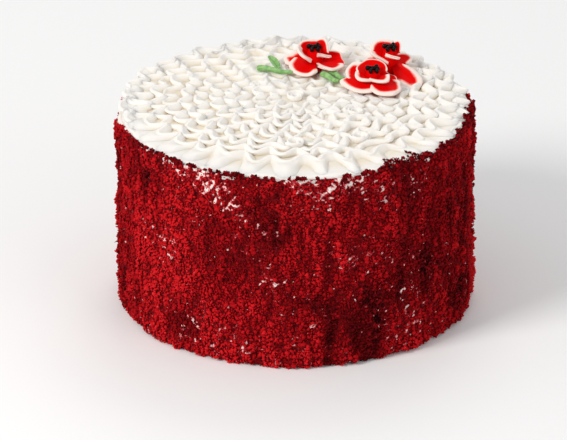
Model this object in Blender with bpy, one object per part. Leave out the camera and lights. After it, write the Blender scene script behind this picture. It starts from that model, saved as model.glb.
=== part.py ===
"""Red velvet cake: a tall round cake in a coat of cake crumbs, with a ruffled icing top, three piped
poppies and their stems. Metres, +Z up. The origin is the middle of the flat underside."""

import math
import random
from typing import NamedTuple

import bpy
from mathutils import Vector, noise

# Driving dimensions of the cake
CAKE_RADIUS = 0.1019
CRUMB_EDGE_HEIGHT = 0.1155
CRUMB_LIMIT_RADIUS = 0.1035
CRUMB_ROOT_RADIUS = 0.1005
RECESS_HEIGHT = 0.1067
COLLAR_INNER_RADIUS = 0.0998
SIDE_SEGMENTS = 94
SIDE_ROWS = 12
UNDERSIDE_INSET = 0.0022
LOWEST_ROW_HEIGHT = 0.0026
HIGHEST_ROW_DROP = 0.0022
COLLAR_CREST_WIDTH = 0.0010
COLLAR_INNER_DROP = 0.0012

# Crumb relief
CLUMP_SIZE = 0.0115
CLUMP_DEPTH = 0.0014
CRUMB_DEPTH = 0.0008
COLLAR_LUMP_HEIGHT = 0.0011
COLLAR_INNER_LUMP_HEIGHT = 0.0004

# Driving dimensions of the icing
GAP = 0.0003
ICING_RADIUS = COLLAR_INNER_RADIUS - GAP
ICING_CREST_HEIGHT = 0.1192
ICING_SHOULDER_HEIGHT = 0.1164
ICING_WALL_HEIGHT = 0.1150
RUFFLE_CENTRE_Y = 0.0105
RUFFLE_LIMIT_RADIUS = 0.0985
OUTER_RING_RADIUS = 0.0862
RING_PITCH = 0.0083
RING_COUNT = 10
LOBE_PITCH = 0.0165
LOBE_SWING = 0.0027
LOBE_ROUNDNESS = 0.8
FOOT_OFFSET = 0.0016
LOBE_DEPTH = 0.0031
TUCK_DEPTH = 0.0050
TUCK_DROP = 0.0014
RIDGE_POINTS = 8
FOOT_POINTS = 4

# Seats that the flowers and stems press into the icing
SEAT_RADIUS = 0.0105
SEAT_HEIGHT = 0.1166
PRESSED_RADIUS = 0.0205
PRESSED_HEIGHT = 0.1176
STEM_PRESSED_HEIGHT = 0.1180
STEM_PRESSED_HALF_WIDTH = 0.0038

# Driving dimensions of the flowers
MM = 0.001
PETAL_THICKNESS = 0.0014
PETAL_LENGTH_STEPS = 3
PETAL_RIM_STEPS = 8
PETAL_ROOT_RADIUS = 0.0020
HEART_BASE_RADIUS = 0.0058
HEART_NECK_RADIUS = 0.0044
HEART_TOP_RADIUS = 0.0021
HEART_NECK_DROP = 0.0025
HEART_TOP_DROP = 0.0005
HEART_SIDES = 8
BEAD_RADIUS = 0.0013
BEAD_COUNT = 6
BEAD_RING_RADIUS = 0.0029
BEAD_DROP = 0.0014
STEM_RADIUS = 0.0016
STEM_HEIGHT = STEM_PRESSED_HEIGHT + GAP + STEM_RADIUS

# The leaf on the left stem
LEAF_ROOT = (-0.0098, 0.0495)
LEAF_CLEARANCE = 0.0018
LEAF_DIRECTION = 112.0
LEAF_LENGTH = 0.0125
LEAF_WIDTH = 0.0052
LEAF_RISE = 18.0
LEAF_LENGTH_STEPS = 4
LEAF_WIDTH_STEPS = 4

SEED = 7
SHARP_ANGLE = math.radians(50)


class Petal(NamedTuple):
    """One piped petal, a fan from the flower's middle to its rim.

    The rim's knots are a direction in degrees, and millimetres outwards and upwards.
    """

    rim: tuple
    root: float = 3.4
    cup: float = 1.8


class Poppy(NamedTuple):
    """One poppy: where it sits on the icing, how tall its heart is, and its petals."""

    name: str
    x: float
    y: float
    heart_height: float
    petals: tuple[Petal, ...]


LEFT_PETALS = (
    Petal(
        ((280, 13.2, 4.6), (252, 17.8, 4.1), (228, 18.0, 4.4), (198, 15.6, 5.3), (166, 12.5, 7.4)), 6.4, 1.0
    ),
    Petal(((196, 13.5, 4.8), (181, 17.0, 5.3), (163, 17.8, 7.2), (150, 12.5, 10.0)), 5.4, 1.2),
    Petal(((140, 11.0, 8.5), (110, 13.8, 8.0), (75, 14.4, 7.5), (45, 12.0, 8.0)), 3.6, 1.8),
    Petal(((45, 9.5, 10.6), (27, 14.0, 9.8), (6, 17.0, 8.3), (-15, 18.6, 6.6)), 4.0, 1.4),
    Petal(
        ((283, 5.0, 6.2), (291, 13.4, 7.0), (306, 19.2, 7.3), (323, 20.0, 7.3), (337, 18.4, 7.3)), 6.0, 2.0
    ),
    Petal(((268, 6.5, 8.0), (240, 10.6, 9.8), (206, 10.3, 13.0), (165, 9.3, 16.1)), 8.5, 1.2),
    Petal(((172, 9.4, 15.0), (140, 8.8, 16.6), (105, 6.6, 17.2), (75, 6.2, 17.2)), 10.5, 1.1),
    Petal(((80, 6.0, 17.0), (48, 7.4, 18.3), (15, 7.6, 16.8), (-10, 8.6, 11.5)), 10.5, 1.1),
    Petal(((280, 3.0, 9.0), (322, 4.8, 9.7), (346, 8.4, 10.3), (363, 11.2, 11.0)), 8.5, 1.4),
)
FRONT_PETALS = (
    Petal(
        ((268, 12.0, 4.4), (236, 14.2, 4.1), (203, 16.0, 4.2), (168, 19.4, 5.2), (143, 15.0, 7.4)), 7.4, 1.0
    ),
    Petal(
        ((256, 9.0, 4.9), (276, 16.4, 5.1), (302, 20.8, 5.1), (330, 19.6, 5.7), (352, 14.5, 7.4)), 7.4, 1.0
    ),
    Petal(((100, 12.0, 8.0), (62, 13.8, 7.4), (25, 14.9, 6.7), (-8, 14.0, 6.5)), 3.6, 1.8),
    Petal(((168, 15.5, 6.4), (147, 18.9, 7.9), (129, 18.6, 11.2), (108, 12.0, 13.4)), 5.2, 1.3),
    Petal(((262, 8.0, 10.0), (237, 10.5, 10.2), (209, 11.8, 11.0), (180, 10.3, 12.6)), 9.0, 1.4),
    Petal(((246, 6.8, 10.4), (276, 10.2, 10.4), (308, 13.4, 10.7), (340, 10.2, 12.2)), 9.0, 1.4),
    Petal(((186, 9.2, 12.6), (130, 11.8, 13.8), (76, 11.9, 14.7), (10, 8.2, 12.0)), 9.5, 1.1),
)
BACK_PETALS = (
    Petal(
        ((281, 20.0, 4.6), (290, 28.0, 4.6), (304, 28.6, 4.6), (322, 24.0, 4.7), (349, 15.5, 5.2)), 8.5, 0.8
    ),
    Petal(((62, 10.5, 10.6), (42, 14.2, 9.9), (22, 14.4, 8.4), (2, 11.0, 7.0)), 7.0, 1.3),
    Petal(((135, 12.0, 9.0), (112, 13.8, 8.6), (88, 14.0, 8.2), (66, 13.0, 8.5)), 5.0, 1.8),
    Petal(((185, 10.0, 5.6), (161, 14.2, 6.3), (149, 15.6, 7.9), (140, 12.5, 9.6)), 5.0, 1.4),
    Petal(((262, 6.2, 9.6), (222, 6.9, 11.9), (184, 11.2, 14.5), (150, 11.0, 18.2)), 10.5, 1.2),
    Petal(((176, 10.8, 15.6), (140, 9.6, 19.2), (105, 6.0, 20.1), (70, 4.6, 19.9)), 11.0, 1.1),
    Petal(((66, 4.8, 19.2), (38, 6.6, 20.3), (8, 6.7, 18.8), (-14, 6.4, 15.4)), 13.0, 1.1),
    Petal(((262, 3.4, 12.8), (300, 4.4, 12.8), (328, 6.4, 13.1), (350, 6.2, 14.4)), 11.5, 1.4),
)
POPPIES = (
    Poppy("poppy_left", 0.0110, 0.0540, 0.0138, LEFT_PETALS),
    Poppy("poppy_front", 0.0445, 0.0240, 0.0128, FRONT_PETALS),
    Poppy("poppy_back", 0.0545, 0.0470, 0.0168, BACK_PETALS),
)

STEM_ROUTES = {
    "stem_left": ((-0.0222, 0.0496), (-0.0150, 0.0478), (-0.0085, 0.0452), (-0.0045, 0.0436)),
    "stem_right": ((0.0185, 0.0372), (0.0206, 0.0345), (0.0228, 0.0315), (0.0250, 0.0292)),
    "stem_upper": ((0.0232, 0.0402), (0.0246, 0.0378), (0.0262, 0.0352), (0.0280, 0.0330)),
}

def clear_scene():
    """Removes every object that the scene starts with."""
    for item in list(bpy.data.objects):
        bpy.data.objects.remove(item, do_unlink=True)


def make_material(name, colour, roughness):
    """A plain Principled finish."""
    material = bpy.data.materials.new(name)
    material.use_nodes = True
    shader = material.node_tree.nodes["Principled BSDF"]
    shader.inputs["Base Color"].default_value = (*colour, 1.0)
    shader.inputs["Roughness"].default_value = roughness
    shader.inputs["Metallic"].default_value = 0.0
    return material


def make_object(name, points, faces, material):
    """One mesh object from points and faces."""
    mesh = bpy.data.meshes.new(name)
    mesh.from_pydata([tuple(point) for point in points], [], faces)
    mesh.validate()
    mesh.materials.append(material)
    mesh.shade_smooth()
    mesh.set_sharp_from_angle(angle=SHARP_ANGLE)
    item = bpy.data.objects.new(name, mesh)
    bpy.context.scene.collection.objects.link(item)
    return item


class Loops:
    """Closed rings of points round the vertical axis, joined from one to the next by triangles."""

    def __init__(self):
        self.points = []
        self.faces = []
        self.last = None

    def add(self, ring):
        """Adds a ring of (angle, point) pairs in order of angle, and joins it to the ring before."""
        start = len(self.points)
        self.points.extend(point for _, point in ring)
        current = [(angle, start + i) for i, (angle, _) in enumerate(ring)]
        if self.last:
            self.zip(self.last, current)
        self.last = current

    def zip(self, first, second):
        """Fills the band between two rings, stepping along whichever ring is behind."""
        i = 0
        j = 0
        while i < len(first) or j < len(second):
            a = first[i % len(first)][1]
            b = second[j % len(second)][1]
            next_a = first[(i + 1) % len(first)][0] + (math.tau if i + 1 >= len(first) else 0.0)
            next_b = second[(j + 1) % len(second)][0] + (math.tau if j + 1 >= len(second) else 0.0)
            if j >= len(second) or (i < len(first) and next_a <= next_b):
                self.faces.append((a, first[(i + 1) % len(first)][1], b))
                i += 1
            else:
                self.faces.append((a, second[(j + 1) % len(second)][1], b))
                j += 1

    def close(self, point):
        """Closes the last ring with a fan onto one point."""
        tip = len(self.points)
        self.points.append(point)
        ring = self.last
        for i, (_, index) in enumerate(ring):
            self.faces.append((index, ring[(i + 1) % len(ring)][1], tip))

    def open_with(self, point, ring):
        """Starts with a fan from one point out to the first ring."""
        self.points.append(point)
        self.add(ring)
        for i, (_, index) in enumerate(self.last):
            self.faces.append((0, self.last[(i + 1) % len(self.last)][1], index))


def polar(angle, radius, height):
    """The point at this angle and radius round the cake's axis."""
    return Vector((radius * math.cos(angle), radius * math.sin(angle), height))


def crumb_radius(angle, height, draw):
    """The uneven radius of the crumb coat."""
    spot = polar(angle, CAKE_RADIUS, height)
    clump = noise.noise(spot / CLUMP_SIZE)
    radius = CAKE_RADIUS + CLUMP_DEPTH * clump + draw.uniform(-CRUMB_DEPTH, CRUMB_DEPTH)
    return min(max(radius, CRUMB_ROOT_RADIUS), CRUMB_LIMIT_RADIUS)


def side_ring(row_height, inset, draw, lump=0.0, radius=None):
    """One ring of the cake's side, at its uneven radius unless a radius is given."""
    ring = []
    for step in range(SIDE_SEGMENTS):
        angle = math.tau * step / SIDE_SEGMENTS
        reach = radius if radius else crumb_radius(angle, row_height, draw) - inset
        ring.append((angle, polar(angle, reach, row_height + draw.uniform(-lump, lump))))
    return ring


def make_cake_body(material):
    """The cake under its crumb coat, with a crumb collar round a flat recess for the icing."""
    draw = random.Random(SEED)
    shell = Loops()
    shell.open_with(Vector((0, 0, 0)), side_ring(0.0, UNDERSIDE_INSET, draw))
    top_row = CRUMB_EDGE_HEIGHT - HIGHEST_ROW_DROP
    for row in range(SIDE_ROWS):
        share = row / (SIDE_ROWS - 1)
        shell.add(side_ring(LOWEST_ROW_HEIGHT + share * (top_row - LOWEST_ROW_HEIGHT), 0.0, draw))
    crest_radius = COLLAR_INNER_RADIUS + COLLAR_CREST_WIDTH
    shell.add(side_ring(CRUMB_EDGE_HEIGHT, 0, draw, COLLAR_LUMP_HEIGHT, crest_radius))
    inner_edge = CRUMB_EDGE_HEIGHT - COLLAR_INNER_DROP
    shell.add(side_ring(inner_edge, 0, draw, COLLAR_INNER_LUMP_HEIGHT, COLLAR_INNER_RADIUS))
    shell.add(side_ring(RECESS_HEIGHT, 0, draw, 0, COLLAR_INNER_RADIUS))
    shell.close(Vector((0, 0, RECESS_HEIGHT)))
    centre_on_axis(shell.points)
    return make_object("cake_body", shell.points, shell.faces, material)


def centre_on_axis(points):
    """Moves the side's points so that their box is centred on the axis in X and in Y."""
    for axis in (0, 1):
        middle = (max(p[axis] for p in points) + min(p[axis] for p in points)) / 2
        for point in points:
            if point.z < RECESS_HEIGHT - GAP or point.xy.length > COLLAR_INNER_RADIUS + GAP:
                point[axis] -= middle


def ring_radius(ring):
    """The mean radius of a ruffle ring, ring 0 outermost."""
    return OUTER_RING_RADIUS - ring * RING_PITCH


def ring_lobes(ring):
    """How many lobes fit round a ruffle ring."""
    return max(4, round(math.tau * ring_radius(ring) / LOBE_PITCH))


def lobe_wave(turn):
    """The ribbon's swing along one lobe: 1 on the round of a lobe, -1 in the tuck between two."""
    return 2 * abs(math.cos(math.pi * turn)) ** LOBE_ROUNDNESS - 1


def pressed(x, y, height):
    """Lowers the icing where a flower or a stem lies on it."""
    for poppy in POPPIES:
        distance = math.hypot(x - poppy.x, y - poppy.y)
        if distance < PRESSED_RADIUS:
            height = min(height, PRESSED_HEIGHT)
        if distance < SEAT_RADIUS:
            height = SEAT_HEIGHT
    leaf_turn = math.radians(LEAF_DIRECTION)
    leaf_tip = Vector(LEAF_ROOT) + LEAF_LENGTH * Vector((math.cos(leaf_turn), math.sin(leaf_turn)))
    for route in (*STEM_ROUTES.values(), (LEAF_ROOT, leaf_tip)):
        for start, end in zip(route, route[1:]):
            if distance_to_stretch(x, y, start, end) < STEM_PRESSED_HALF_WIDTH:
                height = min(height, STEM_PRESSED_HEIGHT)
    return height


def distance_to_stretch(x, y, start, end):
    """The level distance from a point to a straight stretch."""
    along = Vector(end) - Vector(start)
    offset = Vector((x, y)) - Vector(start)
    share = min(max(offset.dot(along) / along.length_squared, 0.0), 1.0)
    return (offset - share * along).length


def ruffle_rings(ring, draw):
    """The foot and the ridge of one ruffle ring, as two rings of (angle, point) pairs."""
    lobes = ring_lobes(ring)
    phase = draw.random()
    swings = [draw.uniform(0.75, 1.15) for _ in range(lobes)]
    rises = [draw.uniform(-0.0006, 0.0004) for _ in range(lobes)]
    found = []
    for points, outward, is_ridge in ((FOOT_POINTS, FOOT_OFFSET, False), (RIDGE_POINTS, 0.0, True)):
        loop = []
        for step in range(lobes * points):
            turn = step / points + phase
            lobe = int(turn + 0.5) % lobes
            wave = lobe_wave(turn)
            angle = math.tau * step / (lobes * points)
            swing = min(LOBE_SWING, 0.33 * ring_radius(ring)) * swings[lobe]
            reach = ring_radius(ring) + swing * wave + outward
            tuck = (1 - wave) / 2
            if is_ridge:
                height = ICING_CREST_HEIGHT + rises[lobe] - TUCK_DROP * tuck
            else:
                height = ICING_CREST_HEIGHT - LOBE_DEPTH - (TUCK_DEPTH - LOBE_DEPTH) * tuck
            point = polar(angle, reach, height) + Vector((0, RUFFLE_CENTRE_Y, 0))
            overhang = max(1.0, point.xy.length / RUFFLE_LIMIT_RADIUS)
            point.x /= overhang
            point.y /= overhang
            point.z = pressed(point.x, point.y, height)
            loop.append((angle, point))
        found.append(loop)
    return found


def make_icing_top(material):
    """The icing cap, with its ruffle rings piped one inside the next."""
    draw = random.Random(SEED + 1)
    floor = RECESS_HEIGHT + GAP
    shell = Loops()
    shell.open_with(Vector((0, 0, floor)), icing_edge_ring(ICING_RADIUS, floor))
    shell.add(icing_edge_ring(ICING_RADIUS, ICING_WALL_HEIGHT))
    shell.add(icing_edge_ring(ICING_RADIUS - 0.0010, ICING_SHOULDER_HEIGHT))
    for ring in range(RING_COUNT):
        foot, ridge = ruffle_rings(ring, draw)
        if ring:
            shell.add(foot)
        shell.add(ridge)
    shell.close(Vector((0, RUFFLE_CENTRE_Y, ICING_CREST_HEIGHT - LOBE_DEPTH)))
    return make_object("icing_top", shell.points, shell.faces, material)


def icing_edge_ring(radius, height):
    """One plain ring of the icing's wall or shoulder."""
    steps = ring_lobes(0) * 3
    return [(math.tau * i / steps, polar(math.tau * i / steps, radius, height)) for i in range(steps)]


def through(knots, place):
    """The point of a smooth curve through knots, place running from 0 to 1."""
    place *= len(knots) - 1
    first = min(int(place), len(knots) - 2)
    t = place - first
    b, c = Vector(knots[first]), Vector(knots[first + 1])
    a = Vector(knots[first - 1]) if first else 2 * b - c
    d = Vector(knots[first + 2]) if first + 2 < len(knots) else 2 * c - b
    return b + 0.5 * t * (c - a + t * (2 * a - 5 * b + 4 * c - d + t * (3 * (b - c) + d - a)))


def petal_point(petal, along, across):
    """A point of a petal's upper face from its flower's root, along and across from 0 to 1."""
    direction, reach, height = through(petal.rim, across)
    radius = PETAL_ROOT_RADIUS + (reach * MM - PETAL_ROOT_RADIUS) * along
    rise = (petal.root + (height - petal.root) * along**petal.cup) * MM
    return polar(math.radians(direction), radius, rise)


def leaf_point(along, across):
    """A point of the leaf's upper face from its root, along and across from 0 to 1."""
    side = 2 * across - 1
    half = LEAF_WIDTH / 2 * math.sin(math.pi * (0.14 + 0.80 * along))
    rise = math.radians(LEAF_RISE)
    turn = math.radians(LEAF_DIRECTION)
    out = Vector((math.cos(turn), math.sin(turn), 0)) * math.cos(rise) * LEAF_LENGTH * along
    aside = Vector((-math.sin(turn), math.cos(turn), 0)) * half * side
    up = Vector((0, 0, math.sin(rise) * LEAF_LENGTH * along + 0.5 * half * side**2))
    return out + aside + up


def make_sheet(name, root, surface, steps, material):
    """A thin closed dish whose upper face is the surface, placed at its root point."""
    step = 0.05
    rows = [i / steps[0] for i in range(steps[0] + 1)]
    columns = [j / steps[1] for j in range(steps[1] + 1)]
    upper = []
    lower = []
    for u in rows:
        for v in columns:
            point = surface(u, v)
            along = surface(min(u + step, 1), v) - surface(max(u - step, 0), v)
            across = surface(max(u, step), min(v + step, 1)) - surface(max(u, step), max(v - step, 0))
            upper.append(root + point)
            lower.append(root + point - PETAL_THICKNESS * along.cross(across).normalized())
    wide = len(columns)
    count = len(upper)
    faces = []
    for i in range(len(rows) - 1):
        for j in range(wide - 1):
            a = i * wide + j
            b = a + wide
            faces += [(a, b, b + 1), (a, b + 1, a + 1)]
            faces += [(count + a, count + b + 1, count + b), (count + a, count + a + 1, count + b + 1)]
    rim = list(range(wide))
    rim += [i * wide + wide - 1 for i in range(1, len(rows))]
    rim += [(len(rows) - 1) * wide + j for j in range(wide - 2, -1, -1)]
    rim += [i * wide for i in range(len(rows) - 2, 0, -1)]
    for a, b in zip(rim, rim[1:] + rim[:1]):
        faces += [(a, b, count + b), (a, count + b, count + a)]
    return make_object(name, upper + lower, faces, material)


def make_petal(poppy, petal, material):
    """One petal of a poppy."""
    root = Vector((poppy.x, poppy.y, SEAT_HEIGHT + GAP))
    steps = (PETAL_LENGTH_STEPS, PETAL_RIM_STEPS)
    return make_sheet("petal", root, lambda u, v: petal_point(petal, u, v), steps, material)


def make_leaf(material):
    """The pointed leaf beside the left stem."""
    root = Vector((*LEAF_ROOT, STEM_PRESSED_HEIGHT + LEAF_CLEARANCE))
    return make_sheet("leaf_left", root, leaf_point, (LEAF_LENGTH_STEPS, LEAF_WIDTH_STEPS), material)


def make_heart(poppy, material):
    """The icing mound in the middle of a poppy, which carries the petals and the beads."""
    base = SEAT_HEIGHT + GAP
    shell = Loops()
    shell.open_with(Vector((poppy.x, poppy.y, base)), heart_ring(poppy, HEART_BASE_RADIUS, base))
    top = base + poppy.heart_height
    shell.add(heart_ring(poppy, HEART_BASE_RADIUS, base + 0.25 * poppy.heart_height))
    shell.add(heart_ring(poppy, HEART_NECK_RADIUS, top - HEART_NECK_DROP))
    shell.add(heart_ring(poppy, HEART_TOP_RADIUS, top - HEART_TOP_DROP))
    shell.close(Vector((poppy.x, poppy.y, top)))
    return make_object(poppy.name, shell.points, shell.faces, material)


def heart_ring(poppy, radius, height):
    """One ring of a poppy's heart."""
    ring = []
    for side in range(HEART_SIDES):
        angle = math.tau * side / HEART_SIDES
        ring.append((angle, polar(angle, radius, height) + Vector((poppy.x, poppy.y, 0))))
    return ring


def make_beads(poppy, draw):
    """The small dark beads on the heart of a poppy."""
    top = SEAT_HEIGHT + GAP + poppy.heart_height
    beads = []
    for index in range(BEAD_COUNT):
        angle = math.tau * index / BEAD_COUNT + draw.uniform(-0.3, 0.3)
        reach = BEAD_RING_RADIUS * draw.uniform(0.75, 1.0)
        spot = (poppy.x + reach * math.cos(angle), poppy.y + reach * math.sin(angle))
        height = top - BEAD_DROP + draw.uniform(-0.0004, 0.0008)
        bpy.ops.mesh.primitive_ico_sphere_add(
            subdivisions=1, radius=BEAD_RADIUS, location=(*spot, height), rotation=(index, index, 0)
        )
        beads.append(bpy.context.object)
    return beads


def fuse(core, others):
    """Joins pieces into the core as one closed body."""
    group = bpy.data.collections.new(core.name + "_pieces")
    bpy.context.scene.collection.children.link(group)
    for item in others:
        for holder in list(item.users_collection):
            holder.objects.unlink(item)
        group.objects.link(item)
    union = core.modifiers.new("fuse", "BOOLEAN")
    union.operation = "UNION"
    union.operand_type = "COLLECTION"
    union.collection = group
    union.solver = "MANIFOLD"
    bpy.context.view_layer.objects.active = core
    bpy.ops.object.select_all(action="DESELECT")
    core.select_set(True)
    bpy.ops.object.modifier_apply(modifier=union.name)
    for item in list(group.objects):
        bpy.data.objects.remove(item, do_unlink=True)
    bpy.data.collections.remove(group)
    core.data.shade_smooth()
    core.data.set_sharp_from_angle(angle=SHARP_ANGLE)


def make_stem(name, route, material):
    """A piped stem that lies on the icing along its route."""
    curve = bpy.data.curves.new(name, "CURVE")
    curve.dimensions = "3D"
    curve.bevel_depth = STEM_RADIUS
    curve.bevel_resolution = 2
    curve.resolution_u = 3
    curve.use_fill_caps = True
    line = curve.splines.new("NURBS")
    line.points.add(len(route) - 1)
    for point, (x, y) in zip(line.points, route):
        point.co = (x, y, STEM_HEIGHT, 1)
    line.use_endpoint_u = True
    line.order_u = 3
    curve.materials.append(material)
    item = bpy.data.objects.new(name, curve)
    bpy.context.scene.collection.objects.link(item)
    return item


def main():
    """Builds every piece of the cake."""
    clear_scene()
    crumb = make_material("crumb_coat", (0.30, 0.006, 0.010), 0.85)
    icing = make_material("icing", (0.90, 0.86, 0.78), 0.50)
    red = make_material("poppy_icing", (0.72, 0.010, 0.010), 0.40)
    green = make_material("stem_icing", (0.20, 0.42, 0.10), 0.45)
    make_cake_body(crumb)
    make_icing_top(icing)
    draw = random.Random(SEED + 4)
    for poppy in POPPIES:
        heart = make_heart(poppy, red)
        petals = [make_petal(poppy, petal, red) for petal in poppy.petals]
        fuse(heart, petals + make_beads(poppy, draw))
    for name, route in STEM_ROUTES.items():
        make_stem(name, route, green)
    make_leaf(green)


main()
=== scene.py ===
"""Dresses the red velvet cake: crumb coat, ruffled icing, piped poppies, and a plain studio round it."""

import logging
import math
from collections.abc import Callable, Sequence
from dataclasses import dataclass, field
from enum import Enum
from functools import partial

import bpy
import numpy as np
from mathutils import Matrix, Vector


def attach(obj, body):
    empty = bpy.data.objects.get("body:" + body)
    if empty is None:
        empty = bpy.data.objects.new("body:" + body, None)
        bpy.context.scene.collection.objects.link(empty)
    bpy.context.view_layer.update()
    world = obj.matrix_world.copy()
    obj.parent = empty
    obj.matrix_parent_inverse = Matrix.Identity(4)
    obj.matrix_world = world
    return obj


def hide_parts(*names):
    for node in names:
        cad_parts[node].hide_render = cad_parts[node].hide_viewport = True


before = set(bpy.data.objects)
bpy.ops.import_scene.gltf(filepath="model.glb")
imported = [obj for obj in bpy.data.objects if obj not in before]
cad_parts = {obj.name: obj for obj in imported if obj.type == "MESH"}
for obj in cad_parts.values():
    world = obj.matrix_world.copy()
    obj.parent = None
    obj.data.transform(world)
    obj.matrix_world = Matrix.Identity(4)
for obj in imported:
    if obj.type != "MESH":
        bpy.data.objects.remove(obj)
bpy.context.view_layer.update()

MM = 0.001
Colour = tuple[float, float, float]
Spot = tuple[float, float]
Points = np.ndarray
Placer = Callable[[Points, Points], Points]
Profile = Sequence[tuple[float, float]]
Turner = Callable[[Points, Points, Points, Points], Points]

# The cake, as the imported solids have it
CAKE_RADIUS = 0.1019
CRUMB_EDGE_HEIGHT = 0.1155
RECESS_HEIGHT = 0.1067
ICING_RADIUS = 0.0995
SEAT_HEIGHT = 0.1166
GAP = 0.0003
SEAT_RADIUS = 0.0105
PETAL_REACH = 0.0165
PETAL_HEIGHT = 0.1187
STEM_PRESSED_HEIGHT = 0.1180
STEM_REACH = 0.0024


class Slot(Enum):
    """The record's material slots."""

    CRUMB = "crumb_coat"
    ICING = "white_icing"
    RED = "red_icing"
    GREEN = "green_icing"


# ---------------------------------------------------------------- shader sheets


class Value:
    """A socket of a shader node that Python's operators act on."""

    def __init__(self, sheet: "Sheet", socket: bpy.types.NodeSocket) -> None:
        """Wraps a socket of a node on this sheet."""
        self.sheet = sheet
        self.socket = socket

    def maths(self, operation: str, first: "Value | float", second: "Value | float") -> "Value":
        """The result of one Math node on two values."""
        made = self.sheet.node("ShaderNodeMath", {"operation": operation}, {0: first, 1: second})
        return Value(self.sheet, made.outputs[0])

    def __add__(self, other: "Value | float") -> "Value":
        """self + other."""
        return self.maths("ADD", self, other)

    def __sub__(self, other: "Value | float") -> "Value":
        """self - other."""
        return self.maths("SUBTRACT", self, other)

    def __mul__(self, other: "Value | float") -> "Value":
        """self * other."""
        return self.maths("MULTIPLY", self, other)


class Sheet:
    """The node sheet of one material, with a Principled shader on it."""

    def __init__(self, name: str) -> None:
        """Starts a material.

        Args:
            name: The material's name.
        """
        self.material = bpy.data.materials.new(name)
        self.material.use_nodes = True
        self.tree = self.material.node_tree
        self.shader = self.tree.nodes["Principled BSDF"]

    def node(self, kind: str, settings: dict, inputs: dict) -> bpy.types.Node:
        """Adds a node.

        Args:
            kind: The node's type.
            settings: What is set on the node itself; "stops" are a ramp's (position, colour) pairs.
            inputs: Values, sockets or wrapped values, by the name or number of the socket.

        Returns:
            The node.
        """
        made = self.tree.nodes.new(kind)
        for key, setting in settings.items():
            if key == "stops":
                ramp = made.color_ramp.elements
                while len(ramp) < len(setting):
                    ramp.new(0.5)
                for stop, (position, colour) in zip(ramp, setting):
                    stop.position = position
                    stop.color = (*colour, 1.0)
            else:
                setattr(made, key, setting)
        for key, given in inputs.items():
            self.feed(made.inputs[key], given)
        return made

    def feed(self, socket: bpy.types.NodeSocket, given: object) -> None:
        """Links or sets a socket.

        Args:
            socket: The socket to feed.
            given: A wrapped value, a socket, a number or a colour.
        """
        if isinstance(given, Value):
            self.tree.links.new(given.socket, socket)
        elif isinstance(given, bpy.types.NodeSocket):
            self.tree.links.new(given, socket)
        elif isinstance(given, tuple) and len(given) == 3 and socket.type == "RGBA":
            socket.default_value = (*given, 1.0)
        else:
            socket.default_value = given

    def set(self, **inputs: object) -> None:
        """Feeds the Principled shader's sockets, whose names are written with underscores."""
        for key, given in inputs.items():
            self.feed(self.shader.inputs[key.replace("_", " ")], given)

    def place(self) -> bpy.types.NodeSocket:
        """The point on the piece, in its own frame."""
        return self.node("ShaderNodeTexCoord", {}, {}).outputs["Object"]

    def attribute(self, name: str) -> Value:
        """A number that is stored on the mesh under this name."""
        made = self.node("ShaderNodeAttribute", {"attribute_name": name}, {})
        return Value(self, made.outputs["Fac"])

    def noise(self, size: float, detail: float = 2.0, roughness: float = 0.5) -> Value:
        """Noise about 0.5, with clouds of this size in metres and finer layers in them."""
        inputs = {"Vector": self.place(), "Scale": 1 / size, "Detail": detail, "Roughness": roughness}
        return Value(self, self.node("ShaderNodeTexNoise", {}, inputs).outputs["Fac"])

    def ramp(self, value: Value, stops: Sequence[tuple[float, Colour]]) -> bpy.types.NodeSocket:
        """Turns a value into a colour, by the colours along it."""
        return self.node("ShaderNodeValToRGB", {"stops": stops}, {"Fac": value}).outputs["Color"]

    def blend(self, share: "Value | float", first: object, second: object) -> bpy.types.NodeSocket:
        """Mixes two colours, with this share of the second."""
        made = self.node("ShaderNodeMix", {"data_type": "RGBA"}, {0: share, 6: first, 7: second})
        return made.outputs[2]

    def bump(self, height: Value, depth: float, strength: float = 1.0) -> None:
        """Gives the shader a bump from a height between 0 and 1, so many metres deep."""
        inputs = {"Height": height, "Distance": depth, "Strength": strength}
        self.set(Normal=self.node("ShaderNodeBump", {}, inputs).outputs["Normal"])


@dataclass(frozen=True)
class CrumbFinish:
    """Dry crumbs of red sponge, with bits of icing among them."""

    name: str = "red_crumb"
    black: Colour = (0.012, 0.0004, 0.0010)
    deep: Colour = (0.095, 0.0012, 0.0026)
    middle: Colour = (0.330, 0.0034, 0.0064)
    bright: Colour = (0.630, 0.0110, 0.0160)
    cream: Colour = (0.860, 0.560, 0.500)
    roughness: float = 0.85
    specular: float = 0.05
    clouds: float = 0.0011
    mottle: float = 0.16
    grain: float = 0.0007
    grain_depth: float = 0.00025

    def material(self) -> bpy.types.Material:
        """The finish as a material."""
        sheet = Sheet(self.name)
        # The stored shade holds painted shade and painted light as well as the crumbs' own tone.
        shade = sheet.attribute("shade") + (sheet.noise(self.clouds, 2.0, 0.6) - 0.5) * self.mottle
        stops = (
            (0.00, self.black),
            (0.22, self.deep),
            (0.46, self.middle),
            (0.80, self.bright),
            (0.90, self.cream),
        )
        sheet.set(Base_Color=sheet.ramp(shade, stops))
        sheet.set(Roughness=self.roughness, Specular_IOR_Level=self.specular)
        sheet.bump(sheet.noise(self.grain, 2.0), self.grain_depth, 0.8)
        return sheet.material


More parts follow.
